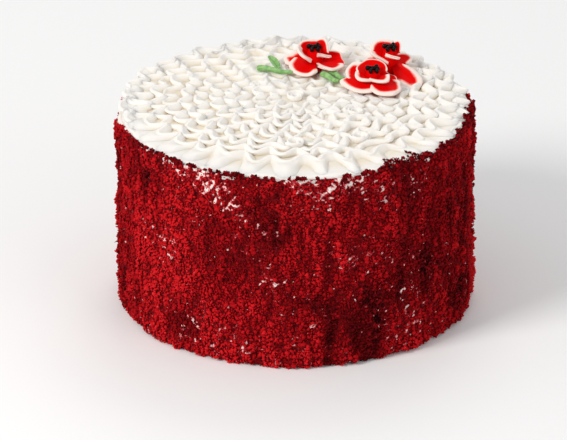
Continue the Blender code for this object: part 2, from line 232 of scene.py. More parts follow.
@dataclass(frozen=True)
class CoatFinish:
    """The side of the cake under the crumbs: icing stained and dusted with crumb."""

    name: str = "crumb_dust_on_icing"
    dust: Colour = (0.300, 0.0026, 0.0054)
    deep: Colour = (0.055, 0.0008, 0.0018)
    stain: Colour = (0.66, 0.055, 0.070)
    icing: Colour = (0.87, 0.80, 0.74)
    roughness: float = 0.8
    specular: float = 0.08
    grain: float = 0.0014
    grain_depth: float = 0.0006
    raggedness: float = 0.9

    def material(self) -> bpy.types.Material:
        """The finish as a material."""
        sheet = Sheet(self.name)
        grain = sheet.noise(self.grain, 3.0, 0.6)
        dust = sheet.ramp(grain, ((0.38, self.deep), (0.66, self.dust)))
        bare = sheet.attribute("bare") + (grain - 0.5) * self.raggedness
        stained = sheet.ramp(bare, ((0.50, (0.0, 0.0, 0.0)), (0.60, (1.0, 1.0, 1.0))))
        cream = sheet.ramp(bare, ((0.60, self.stain), (0.72, self.icing)))
        colour = sheet.blend(Value(sheet, stained), dust, cream)
        sheet.set(Base_Color=colour, Roughness=self.roughness, Specular_IOR_Level=self.specular)
        sheet.bump(grain, self.grain_depth, 0.8)
        return sheet.material


@dataclass(frozen=True)
class IcingFinish:
    """Soft white whipped icing, with a warm painted shade in its folds."""

    name: str = "white_icing"
    crest: Colour = (0.888, 0.850, 0.795)
    fold_painted_shade: Colour = (0.815, 0.720, 0.575)
    roughness: float = 0.42
    specular: float = 0.4
    glow: float = 0.50
    glow_reach: float = 0.004
    glow_spread: Colour = (1.0, 0.95, 0.88)
    clouds: float = 0.006
    mottle: float = 0.35
    grain: float = 0.0011
    grain_depth: float = 0.00012

    def material(self) -> bpy.types.Material:
        """The finish as a material."""
        sheet = Sheet(self.name)
        depth = sheet.attribute("depth") + (sheet.noise(self.clouds, 2.0) - 0.5) * self.mottle
        # The depth paints a warm shade into the folds.
        sheet.set(
            Base_Color=sheet.ramp(depth, ((0.15, self.crest), (0.95, self.fold_painted_shade))),
            Roughness=self.roughness,
            Subsurface_Weight=self.glow,
            Subsurface_Scale=self.glow_reach,
            Specular_IOR_Level=self.specular,
        )
        sheet.set(Subsurface_Radius=self.glow_spread)
        sheet.bump(sheet.noise(self.grain, 3.0, 0.6), self.grain_depth, 0.5)
        return sheet.material


@dataclass(frozen=True)
class PetalFinish:
    """Smooth red icing whose lip is piped white, with painted shade darkening it towards the root."""

    name: str = "red_icing_with_white_lip"
    dark: Colour = (0.300, 0.0006, 0.0012)
    red: Colour = (0.740, 0.0010, 0.0012)
    blush: Colour = (0.900, 0.260, 0.210)
    white: Colour = (0.920, 0.760, 0.690)
    roughness: float = 0.42
    specular: float = 0.015
    clouds: float = 0.0025
    mottle: float = 0.10
    grain: float = 0.0016
    grain_depth: float = 0.00012

    def material(self) -> bpy.types.Material:
        """The finish as a material."""
        sheet = Sheet(self.name)
        rim = sheet.attribute("rim") + (sheet.noise(self.clouds, 2.0) - 0.5) * self.mottle
        # The dark stop is painted shade at the petals' roots.
        stops = (
            (0.10, self.dark),
            (0.36, self.red),
            (0.66, self.red),
            (0.75, self.blush),
            (0.85, self.white),
        )
        sheet.set(Base_Color=sheet.ramp(rim, stops))
        sheet.set(Roughness=self.roughness, Specular_IOR_Level=self.specular)
        sheet.bump(sheet.noise(self.grain, 2.0), self.grain_depth, 0.4)
        return sheet.material


@dataclass(frozen=True)
class GlossFinish:
    """Icing or sugar of one colour with a soft mottle."""

    name: str
    dark: Colour
    light: Colour
    roughness: float = 0.35
    specular: float = 0.4
    clouds: float = 0.0025
    grain_depth: float = 0.00015

    def material(self) -> bpy.types.Material:
        """The finish as a material."""
        sheet = Sheet(self.name)
        mottle = sheet.noise(self.clouds, 3.0, 0.6)
        sheet.set(
            Base_Color=sheet.ramp(mottle, ((0.35, self.dark), (0.68, self.light))),
            Roughness=self.roughness,
            Specular_IOR_Level=self.specular,
        )
        sheet.bump(mottle, self.grain_depth, 0.4)
        return sheet.material


DARK_BEAD = GlossFinish(
    name="dark_bead",
    dark=(0.002, 0.001, 0.0015),
    light=(0.014, 0.005, 0.004),
    roughness=0.10,
    specular=0.10,
)
GREEN_ICING = GlossFinish(
    name="green_icing",
    dark=(0.130, 0.340, 0.080),
    light=(0.335, 0.560, 0.215),
    roughness=0.40,
)


# ---------------------------------------------------------------- mesh helpers


def only(*items: bpy.types.Object) -> None:
    """Selects these objects and nothing else.

    Args:
        items: The objects; the last one becomes the active one.
    """
    bpy.ops.object.select_all(action="DESELECT")
    for item in items:
        item.select_set(True)
    bpy.context.view_layer.objects.active = items[-1]


def tube(columns: int, levels: int, is_ring: bool) -> bpy.types.Object:
    """An upright tube of unit radius, with one level a metre, to be shaped afterwards.

    Args:
        columns: How many faces go round.
        levels: How many rings of points there are.
        is_ring: Whether the last ring is joined back to the first.

    Returns:
        The tube.
    """
    bpy.ops.object.select_all(action="DESELECT")
    bpy.ops.mesh.primitive_circle_add(vertices=columns, radius=1.0, fill_type="NOTHING")
    item = bpy.context.object
    bpy.ops.object.mode_set(mode="EDIT")
    bpy.ops.mesh.select_mode(type="EDGE")
    bpy.ops.mesh.select_all(action="SELECT")
    for _ in range(levels - 1):
        bpy.ops.mesh.extrude_region_move(TRANSFORM_OT_translate={"value": (0, 0, 1)})
    if is_ring:
        bpy.ops.mesh.select_all(action="DESELECT")
        bpy.ops.mesh.select_non_manifold()
        bpy.ops.mesh.bridge_edge_loops()
    bpy.ops.object.mode_set(mode="OBJECT")
    return item


def points_of(item: bpy.types.Object) -> Points:
    """The points of a mesh, one row each."""
    found = np.empty(len(item.data.vertices) * 3)
    item.data.vertices.foreach_get("co", found)
    return found.reshape(-1, 3)


def move_points(item: bpy.types.Object, points: Points) -> None:
    """Moves the points of a mesh to these places, one row each."""
    item.data.vertices.foreach_set("co", np.ascontiguousarray(points).ravel())
    item.data.update()


def shape_tube(item: bpy.types.Object, place: Placer) -> None:
    """Shapes a tube by a rule.

    Args:
        item: The tube.
        place: Takes each point's share of the way round and its level, and gives its place.
    """
    points = points_of(item)
    share = (np.arctan2(points[:, 1], points[:, 0]) / math.tau) % 1.0
    move_points(item, place(share, np.round(points[:, 2])))


def face_outwards(item: bpy.types.Object) -> None:
    """Turns the faces of a closed mesh outwards."""
    only(item)
    bpy.ops.object.mode_set(mode="EDIT")
    bpy.ops.mesh.select_all(action="SELECT")
    bpy.ops.mesh.normals_make_consistent(inside=False)
    bpy.ops.object.mode_set(mode="OBJECT")


def cap_ends(item: bpy.types.Object) -> None:
    """Fills the open ends of a tube with faces that meet in the middle."""
    only(item)
    bpy.ops.object.mode_set(mode="EDIT")
    bpy.ops.mesh.select_mode(type="EDGE")
    bpy.ops.mesh.select_all(action="DESELECT")
    bpy.ops.mesh.select_non_manifold()
    bpy.ops.mesh.edge_face_add()
    bpy.ops.mesh.select_mode(type="FACE")
    bpy.ops.mesh.poke()
    bpy.ops.object.mode_set(mode="OBJECT")


def smoothed(item: bpy.types.Object, levels: int) -> bpy.types.Object:
    """Subdivides a mesh and shades it smooth.

    Args:
        item: The object.
        levels: How many times it is subdivided.

    Returns:
        The same object.
    """
    only(item)
    if levels:
        modifier = item.modifiers.new("smooth", "SUBSURF")
        modifier.levels = levels
        modifier.render_levels = levels
        bpy.ops.object.modifier_apply(modifier=modifier.name)
    bpy.ops.object.shade_smooth()
    return item


def closed_tube(columns: int, levels: int, place: Placer, refined: int) -> bpy.types.Object:
    """A smooth tube with filled ends, shaped by a rule.

    Args:
        columns: How many faces go round.
        levels: How many rings of points there are.
        place: Takes each point's share of the way round and its level, and gives its place.
        refined: How many times it is subdivided.

    Returns:
        The tube.
    """
    item = tube(columns, levels, is_ring=False)
    shape_tube(item, place)
    cap_ends(item)
    face_outwards(item)
    return smoothed(item, refined)


def turned(columns: int, profile: Profile, place: Turner, refined: int) -> bpy.types.Object:
    """A smooth piece turned from a profile.

    Args:
        columns: How many faces go round.
        profile: The profile's radii and heights.
        place: Takes the angles, radii, heights and levels of the points, and gives their places.
        refined: How many times it is subdivided.

    Returns:
        The piece.
    """
    radii, heights = np.array(profile).T

    def along_profile(share: Points, level: Points) -> Points:
        """Looks each point's radius and height up in the profile."""
        number = level.astype(int)
        return place(share * math.tau, radii[number], heights[number], number)

    return closed_tube(columns, len(profile), along_profile, refined)


def grid_sheet(columns: int, rows: int) -> tuple[bpy.types.Object, Points, Points]:
    """A flat sheet, to be shaped afterwards.

    Args:
        columns: How many faces go along it.
        rows: How many faces go across it.

    Returns:
        The sheet, and how far along it (0 to 1) and across it (-1 to 1) each point is.
    """
    bpy.ops.object.select_all(action="DESELECT")
    bpy.ops.mesh.primitive_grid_add(x_subdivisions=columns, y_subdivisions=rows, size=2.0)
    item = bpy.context.object
    grid = points_of(item)
    return item, (grid[:, 0] + 1) / 2, grid[:, 1]


def thick_sheet(item: bpy.types.Object, thickness: float) -> bpy.types.Object:
    """Turns a sheet's face up, gives it its thickness below that face, and smooths it.

    Args:
        item: The sheet.
        thickness: The thickness in metres.

    Returns:
        The same sheet.
    """
    if sum(face.normal.z for face in item.data.polygons) < 0:
        item.data.flip_normals()
    only(item)
    modifier = item.modifiers.new("wall", "SOLIDIFY")
    modifier.thickness = thickness
    modifier.offset = -1.0
    bpy.ops.object.modifier_apply(modifier=modifier.name)
    return smoothed(item, 1)


def join(items: Sequence[bpy.types.Object], name: str) -> bpy.types.Object:
    """Joins objects into one.

    Args:
        items: The objects.
        name: The name of the result.

    Returns:
        The joined object.
    """
    only(*items)
    bpy.ops.object.join()
    joined = bpy.context.object
    joined.name = name
    joined.data.name = name
    return joined


def store(item: bpy.types.Object, name: str, values: Points) -> None:
    """Stores a number on each point of a mesh, as an attribute of this name."""
    layer = item.data.attributes.new(name, "FLOAT", "POINT")
    layer.data.foreach_set("value", np.ascontiguousarray(values, np.float32))


def mesh_from(name: str, points: Points, faces: Points) -> bpy.types.Object:
    """A mesh object from arrays of points and triangles.

    Args:
        name: The object's name.
        points: The points, one row each.
        faces: The triangles, one row each.

    Returns:
        The object.
    """
    mesh = bpy.data.meshes.new(name)
    mesh.vertices.add(len(points))
    mesh.vertices.foreach_set("co", points.astype(np.float32).ravel())
    mesh.loops.add(faces.size)
    mesh.loops.foreach_set("vertex_index", faces.astype(np.int32).ravel())
    mesh.polygons.add(len(faces))
    mesh.polygons.foreach_set("loop_start", np.arange(0, faces.size, 3, dtype=np.int32))
    mesh.update()
    mesh.validate()
    item = bpy.data.objects.new(name, mesh)
    bpy.context.scene.collection.objects.link(item)
    return item


def cloud(points: Points, size: float, seed: float = 0.0) -> Points:
    """Smooth noise between about -1 and 1 at each point.

    Args:
        points: The points, one row each.
        size: The size of its hills in metres.
        seed: Makes another noise.

    Returns:
        The noise.
    """
    moved = points / size + seed * 3.71
    cell = np.floor(moved).astype(np.int64)
    part = moved - cell
    part = part * part * (3 - 2 * part)
    total = np.zeros(len(points))
    for corner in np.ndindex(2, 2, 2):
        weight = np.prod(np.where(np.array(corner), part, 1 - part), axis=1)
        at = cell + np.array(corner)
        mixed = at[:, 0] * 73856093 ^ at[:, 1] * 19349663 ^ at[:, 2] * 83492791 ^ int(seed * 1009)
        mixed = ((mixed ^ (mixed >> 13)) * 1274126177) & 0x7FFFFFFF
        mixed = ((mixed ^ (mixed >> 15)) * 668265263) & 0x7FFFFFFF
        total += weight * (mixed / 0x3FFFFFFF - 1)
    return total * 1.25


@dataclass(frozen=True)
class Layer:
    """A layer of noise: its strength, the size of its hills, its seed, and how far it is squashed."""

    strength: float
    size: float
    seed: float
    squash: float = 1.0

    def at(self, spots: Points) -> Points:
        """The layer's value at each point; a squash under 1 draws its hills out upwards."""
        return self.strength * cloud(spots * (1, 1, self.squash), self.size, self.seed)


def layered(layers: Sequence[Layer], spots: Points) -> Points:
    """The sum of some layers of noise at each point."""
    return sum(layer.at(spots) for layer in layers)


def fade(values: Points, start: float, width: float) -> Points:
    """Rises from 0 at the start to 1 a width further on."""
    return np.clip((values - start) / width, 0, 1)


def near(values: Points, reach: float) -> Points:
    """Falls from 1 at 0 to 0 at the reach."""
    return np.clip(1 - values / reach, 0, 1)


def polar(angle: Points, radius: Points | float, height: Points | float) -> Points:
    """Points round the cake's axis.

    Args:
        angle: Their angles in radians.
        radius: Their radii.
        height: Their heights.

    Returns:
        The points, one row each.
    """
    radius = np.broadcast_to(radius, angle.shape)
    height = np.broadcast_to(height, angle.shape)
    return np.stack([radius * np.cos(angle), radius * np.sin(angle), height], axis=1)


def dress(item: bpy.types.Object, material: bpy.types.Material, nodes: Sequence[str]) -> None:
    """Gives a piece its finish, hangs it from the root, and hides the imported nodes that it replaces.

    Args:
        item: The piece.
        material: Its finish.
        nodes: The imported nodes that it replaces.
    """
    item.data.materials.clear()
    item.data.materials.append(material)
    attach(item, "root")
    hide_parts(*nodes)
    logging.info("%s: %d faces", item.name, len(item.data.polygons))


def is_pressed(x: Points, y: Points, reach: float, spots: Sequence[Spot]) -> Points:
    """Finds which points lie close to any of some spots.

    Args:
        x: The points' places across the cake.
        y: Their places to the back.
        reach: How close they have to lie.
        spots: The spots.

    Returns:
        Whether each point does.
    """
    found = np.zeros(x.shape, bool)
    for spot_x, spot_y in spots:
        found |= np.hypot(x - spot_x, y - spot_y) < reach
    return found


# ---------------------------------------------------------------- the crumb coat


@dataclass(frozen=True)
class Climb:
    """A clump of crumbs that climbs over the icing's shoulder."""

    azimuth: float
    reach: float
    spread: float


@dataclass(frozen=True)
class Patch:
    """A patch of the coat: its middle as an azimuth in degrees and a height, its reach, its strength."""

    azimuth: float
    height: float
    reach: float
    strength: float


def turned_from(azimuth: float, angle: Points) -> Points:
    """How far each angle is turned from an azimuth in degrees, the shorter way round."""
    return (angle - math.radians(azimuth) + math.pi) % math.tau - math.pi


@dataclass
class Scatter:
    """Crumbs yet to be made: the middle of each, its shade, and its share of the usual size."""

    spots: Points
    shade: Points
    share: Points


@dataclass
class CrumbCoat:
    """The cake's side: a dusted wall, and the crumbs pressed into it."""

    # The wall under the crumbs
    wall_radius: float = 0.1003
    wall_columns: int = 500
    wall_rows: int = 88
    wall_height: float = 0.1149
    wall_relief: float = 0.8
    foot_depth: float = 0.0020
    foot_height: float = 0.0030
    # The coat's upper edge
    edge_lift: float = 0.0002
    edge_fade: float = 0.0012
    edge_band: float = 0.0050
    sink_behind: float = 0.0070
    highest_climb: float = 0.0022
    full_climb: float = 0.003
    climb_level: float = 0.110
    # The loose crumbs on the icing's shoulder
    shoulder_crumbs: int = 9000
    shoulder_size: float = 0.78
    climb_shake: float = 1.1
    front_reach: float = 0.0009
    front_shake: float = 0.0018
    least_reach: float = 0.0006
    shoulder_height: float = 0.1158
    shoulder_run: float = 0.0070
    shoulder_rise: float = 0.0014
    shoulder_pile: float = 0.0012
    # The crumbs' places and sizes
    crumb_pitch: float = 0.00130
    grid_shake: float = 0.70
    gather: float = 1.1e-6
    lift: float = 0.0010
    lowest_crumb: float = 0.0005
    crumb_kinds: int = 14
    smallest: float = 0.00036
    largest: float = 0.00160
    size_curve: tuple[float, float] = (1.4, 3.4)
    stretch: tuple[float, float] = (0.50, 1.35)
    crumbs_a_piece: int = 9400
    # Their shades, from 0 for black to 1 for a fleck of icing, with painted shade and painted light in them
    base_shade: float = 0.520
    painted_shade_of_relief: float = 80
    painted_light_of_lift: float = 60
    painted_light_at_foot: float = 0.10
    shade_of_streaks: float = 0.34
    shade_spread: float = 0.050
    shoulder_shade: float = 0.26
    shoulder_shade_spread: float = 0.13
    darkest: float = 0.02
    lightest: float = 0.78
    foot_band: float = 0.030
    streak_start: float = 0.20
    # How much icing shows, from 0 to 1, and what that does to the crumbs
    bare_level: float = 0.17
    bare_at_edge: float = 0.15
    bare_under_climb: float = 0.35
    bare_gain: float = 3.0
    gap_start: float = 0.47
    emptiest: float = 0.84
    shrink_start: float = 0.34
    shrink_where_bare: float = 0.45
    fleck_start: float = 0.38
    fleck_chance: float = 0.003
    fleck_chance_where_bare: float = 0.18
    fleck_size: float = 0.6
    # Noise in the relief, the clumps, the edge, the shades and the bare places
    relief_layers: tuple[Layer, ...] = (
        Layer(0.0008, 0.0150, 1.2, 0.45),
        Layer(0.0013, 0.0070, 2.2, 0.50),
        Layer(0.0013, 0.0034, 4.6, 0.75),
    )
    pull_layers: tuple[Layer, ...] = (
        Layer(1.0, 0.0034, 4.6, 0.75),
        Layer(0.8, 0.0070, 2.2, 0.50),
    )
    edge_layers: tuple[Layer, ...] = (
        Layer(0.0011, 0.0110, 3.1),
        Layer(0.0022, 0.0046, 5.7),
        Layer(0.0012, 0.0021, 2.3),
    )
    ragged_layers: tuple[Layer, ...] = (
        Layer(0.6, 0.0048, 6.4),
        Layer(0.6, 0.0022, 3.4),
    )
    bare_fine: tuple[Layer, ...] = (
        Layer(0.34, 0.0017, 9.1),
        Layer(0.24, 0.0009, 2.9),
    )
    bare_wide: Layer = Layer(0.12, 0.014, 1.9)
    light_drift: Layer = Layer(0.15, 0.018, 8.8, 0.4)
    dark_streaks: Layer = Layer(1.0, 0.0068, 1.7, 0.26)
    # The clumps, the patches of painted light and painted shade, and the bare patches of the side
    climbs: tuple[Climb, ...] = (
        Climb(-54, 0.0085, 4.5),
        Climb(-46, 0.0060, 3.0),
        Climb(-33, 0.0040, 4.0),
        Climb(-7, 0.0060, 7.0),
        Climb(-20, 0.0035, 5.0),
    )
    lights: tuple[Patch, ...] = (
        Patch(-140, 0.070, 0.026, 0.17),
        Patch(-130, 0.045, 0.024, 0.13),
        Patch(-150, 0.030, 0.022, 0.10),
        Patch(-108, 0.012, 0.020, 0.08),
        Patch(-66, 0.024, 0.022, -0.20),
        Patch(-58, 0.040, 0.014, -0.16),
        Patch(-45, 0.075, 0.030, -0.08),
        Patch(-92, 0.062, 0.020, -0.10),
        Patch(-96, 0.088, 0.014, -0.14),
        Patch(-118, 0.084, 0.008, -0.20),
        Patch(-110, 0.056, 0.009, -0.18),
        Patch(-84, 0.036, 0.011, -0.16),
        Patch(-140, 0.098, 0.010, -0.16),
        Patch(-160, 0.100, 0.020, -0.08),
        Patch(-30, 0.060, 0.048, -0.20),
    )
    laces: tuple[Patch, ...] = (
        Patch(-134, 0.1130, 0.007, 0.30),
        Patch(-127, 0.1120, 0.008, 0.38),
        Patch(-119, 0.1080, 0.009, 0.37),
        Patch(-113, 0.1010, 0.009, 0.24),
        Patch(-107, 0.0940, 0.008, 0.18),
        Patch(-86, 0.1100, 0.007, 0.34),
        Patch(-79, 0.1060, 0.008, 0.30),
        Patch(-72, 0.1100, 0.007, 0.26),
        Patch(-62, 0.1040, 0.009, 0.24),
        Patch(-48, 0.1000, 0.008, 0.20),
        Patch(-152, 0.0900, 0.010, 0.10),
        Patch(-146, 0.0640, 0.010, 0.16),
        Patch(-134, 0.0620, 0.009, 0.18),
        Patch(-128, 0.0250, 0.010, 0.15),
        Patch(-112, 0.0120, 0.010, 0.20),
        Patch(-100, 0.0100, 0.009, 0.15),
        Patch(-98, 0.0560, 0.008, 0.24),
        Patch(-76, 0.0620, 0.011, 0.17),
        Patch(-62, 0.0600, 0.011, 0.17),
        Patch(-48, 0.0200, 0.012, 0.20),
        Patch(-55, 0.0330, 0.010, 0.14),
        Patch(-36, 0.0500, 0.010, 0.10),
    )
    draw: np.random.Generator = field(default_factory=lambda: np.random.default_rng(11))

    def relief(self, angle: Points, height: Points) -> Points:
        """How far the coat stands out at each angle and height."""
        return layered(self.relief_layers, polar(angle, CAKE_RADIUS, height))

    def edge(self, angle: Points) -> Points:
        """Finds the coat's upper edge, which sinks behind and climbs with the clumps.

        Args:
            angle: The angles round the cake.

        Returns:
            The edge's height at each.
        """
        uneven = layered(self.edge_layers, polar(angle, CAKE_RADIUS, 0.0))
        behind = self.sink_behind * fade(np.sin(angle) - 0.26 * np.cos(angle), 0, 0.22)
        climbing = np.minimum(0.5 * self.climb_reach(angle), self.highest_climb)
        return CRUMB_EDGE_HEIGHT + self.edge_lift + uneven - behind + climbing

    def climb_reach(self, angle: Points) -> Points:
        """Adds up the clumps that climb over the icing's shoulder.

        Args:
            angle: The angles round the cake.

        Returns:
            How far the crumbs reach over the shoulder at each.
        """
        reach = np.zeros(angle.shape)
        for climb in self.climbs:
            away = turned_from(climb.azimuth, angle)
            reach += climb.reach * np.exp(-((np.degrees(away) / climb.spread) ** 2))
        return reach

    @staticmethod
    def patchy(patches: Sequence[Patch], angle: Points, height: Points) -> Points:
        """Adds up some patches of the coat.

        Args:
            patches: The patches.
            angle: The angles round the cake.
            height: The heights.

        Returns:
            Their strength at each place.
        """
        total = np.zeros(angle.shape)
        for patch in patches:
            across = turned_from(patch.azimuth, angle) * CAKE_RADIUS
            away = np.hypot(across, (height - patch.height) * 0.8)
            total += patch.strength * np.exp(-((away / patch.reach) ** 2))
        return total

    def bareness(self, angle: Points, height: Points) -> Points:
        """Finds how much icing shows through the coat.

        Args:
            angle: The angles round the cake.
            height: The heights.

        Returns:
            The icing's share at each place, from 0 to 1.
        """
        spots = polar(angle, CAKE_RADIUS, height)
        bare = self.bare_level + layered(self.bare_fine, spots) + self.bare_wide.at(spots)
        bare += self.bare_at_edge * near(self.edge(angle) - height, self.edge_band)
        bare += self.patchy(self.laces, angle, height)
        climbed = fade(self.climb_reach(angle), 0, self.full_climb) * (height > self.climb_level)
        return np.clip(bare - self.bare_under_climb * climbed, 0, 1)

    def foot_inset(self, height: Points) -> Points:
        """How far the coat draws in at its foot."""
        return self.foot_depth * near(height, self.foot_height) ** 2

    def wall(self) -> bpy.types.Object:
        """The dusted wall under the crumbs."""
        over_rim = (
            (ICING_RADIUS + 0.0004, self.wall_height + 0.0003),
            (ICING_RADIUS - 0.0010, self.wall_height),
            (ICING_RADIUS - 0.0010, RECESS_HEIGHT),
        )
        side_rows = self.wall_rows - len(over_rim)

        def place(share: Points, level: Points) -> Points:
            """Sets the wall's points from the foot up, over the rim and into the recess."""
            angle = share * math.tau
            height = np.minimum(level / (side_rows - 1), 1.0) * self.wall_height
            radius = self.wall_radius + self.relief(angle, height) * self.wall_relief
            radius -= self.foot_inset(height)
            for number, (rim_radius, rim_height) in enumerate(over_rim, start=side_rows):
                radius = np.where(level == number, rim_radius, radius)
                height = np.where(level == number, rim_height, height)
            return polar(angle, radius, height)

        item = closed_tube(self.wall_columns, self.wall_rows, place, 0)
        item.name = "crumb_dusted_wall"
        points = points_of(item)
        angle = np.arctan2(points[:, 1], points[:, 0])
        above = fade(points[:, 2], self.edge(angle), self.edge_fade)
        store(item, "bare", np.maximum(self.bareness(angle, points[:, 2]), above))
        return item

    def side_places(self) -> tuple[Points, Points]:
        """Sets the side's crumbs out on a shaken grid.

        Returns:
            The angle and the height of each.
        """
        rows = int(CRUMB_EDGE_HEIGHT / self.crumb_pitch) + 1
        columns = int(math.tau * CAKE_RADIUS / self.crumb_pitch)
        column, row = np.meshgrid(np.arange(columns), np.arange(rows))
        shake = self.draw.uniform(-self.grid_shake, self.grid_shake, (2, rows, columns))
        angle = (column + 0.5 * (row % 2) + shake[0]) / columns * math.tau
        height = (row + 0.6 + shake[1]) * self.crumb_pitch
        return angle.ravel(), np.maximum(height.ravel(), self.lowest_crumb)

    def clumped(self, angle: Points, height: Points) -> tuple[Points, Points]:
        """Draws the crumbs together into clumps, with crevices between.

        Args:
            angle: The angles of the crumbs.
            height: Their heights.

        Returns:
            The angles and heights that they end at.
        """
        step = 0.0004

        def pull(turn: Points, rise: Points) -> Points:
            """The field whose hills gather the crumbs."""
            return layered(self.pull_layers, polar(angle + turn, CAKE_RADIUS, height + rise))

        here = pull(0.0, 0.0)
        aside = (pull(step / CAKE_RADIUS, 0.0) - here) / step
        upward = (pull(0.0, step) - here) / step
        moved = angle + self.gather * aside / CAKE_RADIUS
        return moved, np.maximum(height + self.gather * upward, self.lowest_crumb)

    def shoulder_places(self) -> tuple[Points, Points]:
        """Sets out the loose crumbs that lie on the icing's shoulder.

        Returns:
            The angle and the radius of each.
        """
        angle = self.draw.uniform(0, math.tau, self.shoulder_crumbs)
        ragged = layered(self.ragged_layers, polar(angle, CAKE_RADIUS, 0.3))
        reach = self.climb_reach(angle) * (1 + self.climb_shake * ragged)
        in_front = fade(-np.sin(angle), 0.45, 0.2)
        reach += in_front * (self.front_reach + self.front_shake * ragged)
        keep = reach > self.least_reach
        angle, reach = angle[keep], reach[keep]
        inward = reach * self.draw.uniform(0, 1, len(angle)) ** 1.5
        return angle, CAKE_RADIUS - inward

    def on_side(self) -> Scatter:
        """Scatters the crumbs on the side, fewer and smaller where icing shows.

        Returns:
            The crumbs.
        """
        angle, height = self.clumped(*self.side_places())
        keep = height < self.edge(angle)
        bare = self.bareness(angle, height)
        empty = np.clip((bare - self.gap_start) * self.bare_gain, 0, self.emptiest)
        keep &= self.draw.uniform(0, 1, len(angle)) > empty
        angle, height, bare = angle[keep], height[keep], bare[keep]
        relief = self.relief(angle, height)
        over = self.draw.uniform(0.0, self.lift, len(angle))
        side = polar(angle, self.wall_radius + relief + over - self.foot_inset(height), height)
        # Painted shade darkens the crumbs in the hollows of the relief; painted light brightens those lifted
        # further out.
        shade = self.base_shade + self.painted_shade_of_relief * relief + self.painted_light_of_lift * over
        # Patches of painted light and painted shade, lighter or darker as the light falls on the side.
        shade += self.patchy(self.lights, angle, height)
        # Painted light brightens the crumbs near the foot, where shade falls from the floor.
        shade += self.painted_light_at_foot * near(height, self.foot_band)
        shade += self.light_drift.at(side) + self.draw.normal(0, self.shade_spread, len(angle))
        shade -= self.shade_of_streaks * np.clip(self.dark_streaks.at(side) - self.streak_start, 0, 1)
        shade = np.clip(shade, self.darkest, self.lightest)
        past = np.clip(bare - self.fleck_start, 0, 1)
        chance = self.fleck_chance + self.fleck_chance_where_bare * past
        shade[self.draw.uniform(0, 1, len(angle)) < chance] = 1.0
        shrunk = np.clip((bare - self.shrink_start) * self.bare_gain, 0, 1)
        return Scatter(side, shade, 1 - self.shrink_where_bare * shrunk)

    def on_shoulder(self) -> Scatter:
        """Scatters the loose crumbs on the icing's shoulder.

        Returns:
            The crumbs.
        """
        angle, radius = self.shoulder_places()
        inward = fade(CAKE_RADIUS - radius, 0, self.shoulder_run)
        height = self.shoulder_height + self.shoulder_rise * np.sqrt(inward)
        height += self.draw.uniform(0, self.shoulder_pile, len(angle))
        shade = self.shoulder_shade + self.draw.normal(0, self.shoulder_shade_spread, len(angle))
        shade = np.clip(shade, self.darkest, self.lightest)
        return Scatter(polar(angle, radius, height), shade, np.full(len(shade), self.shoulder_size))

    def crumbs(self) -> list[bpy.types.Object]:
        """Makes all crumbs, in a few pieces of like size.

        Returns:
            The pieces.
        """
        parts = (self.on_side(), self.on_shoulder())
        spots = np.concatenate([part.spots for part in parts])
        shade = np.concatenate([part.shade for part in parts])
        size = np.concatenate([part.share for part in parts])
        grade = self.draw.beta(*self.size_curve, len(spots))
        size *= self.smallest + (self.largest - self.smallest) * grade
        size = np.where(shade > 0.9, size * self.fleck_size, size)
        logging.info("crumbs: %d", len(spots))
        order = self.draw.permutation(len(spots))
        pieces = []
        for number, start in enumerate(range(0, len(spots), self.crumbs_a_piece), start=1):
            part = order[start : start + self.crumbs_a_piece]
            pieces.append(self.crumb_piece(f"crumbs_{number}", spots[part], shade[part], size[part]))
        return pieces

    def crumb_piece(self, name: str, spots: Points, shade: Points, size: Points) -> bpy.types.Object:
        """One piece of joined crumbs.

        Args:
            name: The piece's name.
            spots: The middle of each crumb.
            shade: How bright each crumb is.
            size: The radius of each crumb.

        Returns:
            The piece.
        """
        kinds, faces = rough_lumps(self.crumb_kinds, self.draw)
        count = len(spots)
        turns = random_turns(count, self.draw)
        lumps = kinds[self.draw.integers(0, len(kinds), count)]
        lumps = lumps * self.draw.uniform(*self.stretch, (count, 1, 3))
        points = np.einsum("nij,nkj->nki", turns, lumps) * size[:, None, None] + spots[:, None, :]
        points[:, :, 2] = np.maximum(points[:, :, 2], 0.0)
        corners = faces[None] + (np.arange(count) * kinds.shape[1])[:, None, None]
        item = mesh_from(name, points.reshape(-1, 3), corners.reshape(-1, 3))
        store(item, "shade", np.repeat(shade, kinds.shape[1]))
        return item

    def build(self) -> None:
        """Makes and dresses the coat."""
        dress(self.wall(), CoatFinish().material(), ["cake_body"])
        finish = CrumbFinish().material()
        for piece in self.crumbs():
            dress(piece, finish, ["cake_body"])


def rough_lumps(kinds: int, draw: np.random.Generator) -> tuple[Points, Points]:
    """Small rough lumps of twenty faces, of unit radius.

    Args:
        kinds: How many different ones there are.
        draw: The random draw.

    Returns:
        The points of each kind, and the triangles that they share.
    """
    bpy.ops.object.select_all(action="DESELECT")
    bpy.ops.mesh.primitive_ico_sphere_add(subdivisions=1, radius=1.0)
    ball = bpy.context.object
    points = points_of(ball)
    faces = np.array([list(face.vertices) for face in ball.data.polygons])
    bpy.data.objects.remove(ball, do_unlink=True)
    lumps = np.stack([points * draw.uniform(0.45, 1.5, (len(points), 1)) for _ in range(kinds)])
    return lumps, faces


def random_turns(count: int, draw: np.random.Generator) -> Points:
    """Random rotation matrices.

    Args:
        count: How many.
        draw: The random draw.

    Returns:
        The matrices.
    """
    q = draw.normal(size=(count, 4))
    w, x, y, z = (q / np.linalg.norm(q, axis=1, keepdims=True)).T
    rows = (
        (1 - 2 * (y * y + z * z), 2 * (x * y - z * w), 2 * (x * z + y * w)),
        (2 * (x * y + z * w), 1 - 2 * (x * x + z * z), 2 * (y * z - x * w)),
        (2 * (x * z - y * w), 2 * (y * z + x * w), 1 - 2 * (x * x + y * y)),
    )
    return np.array(rows).transpose(2, 0, 1)


# ---------------------------------------------------------------- the icing


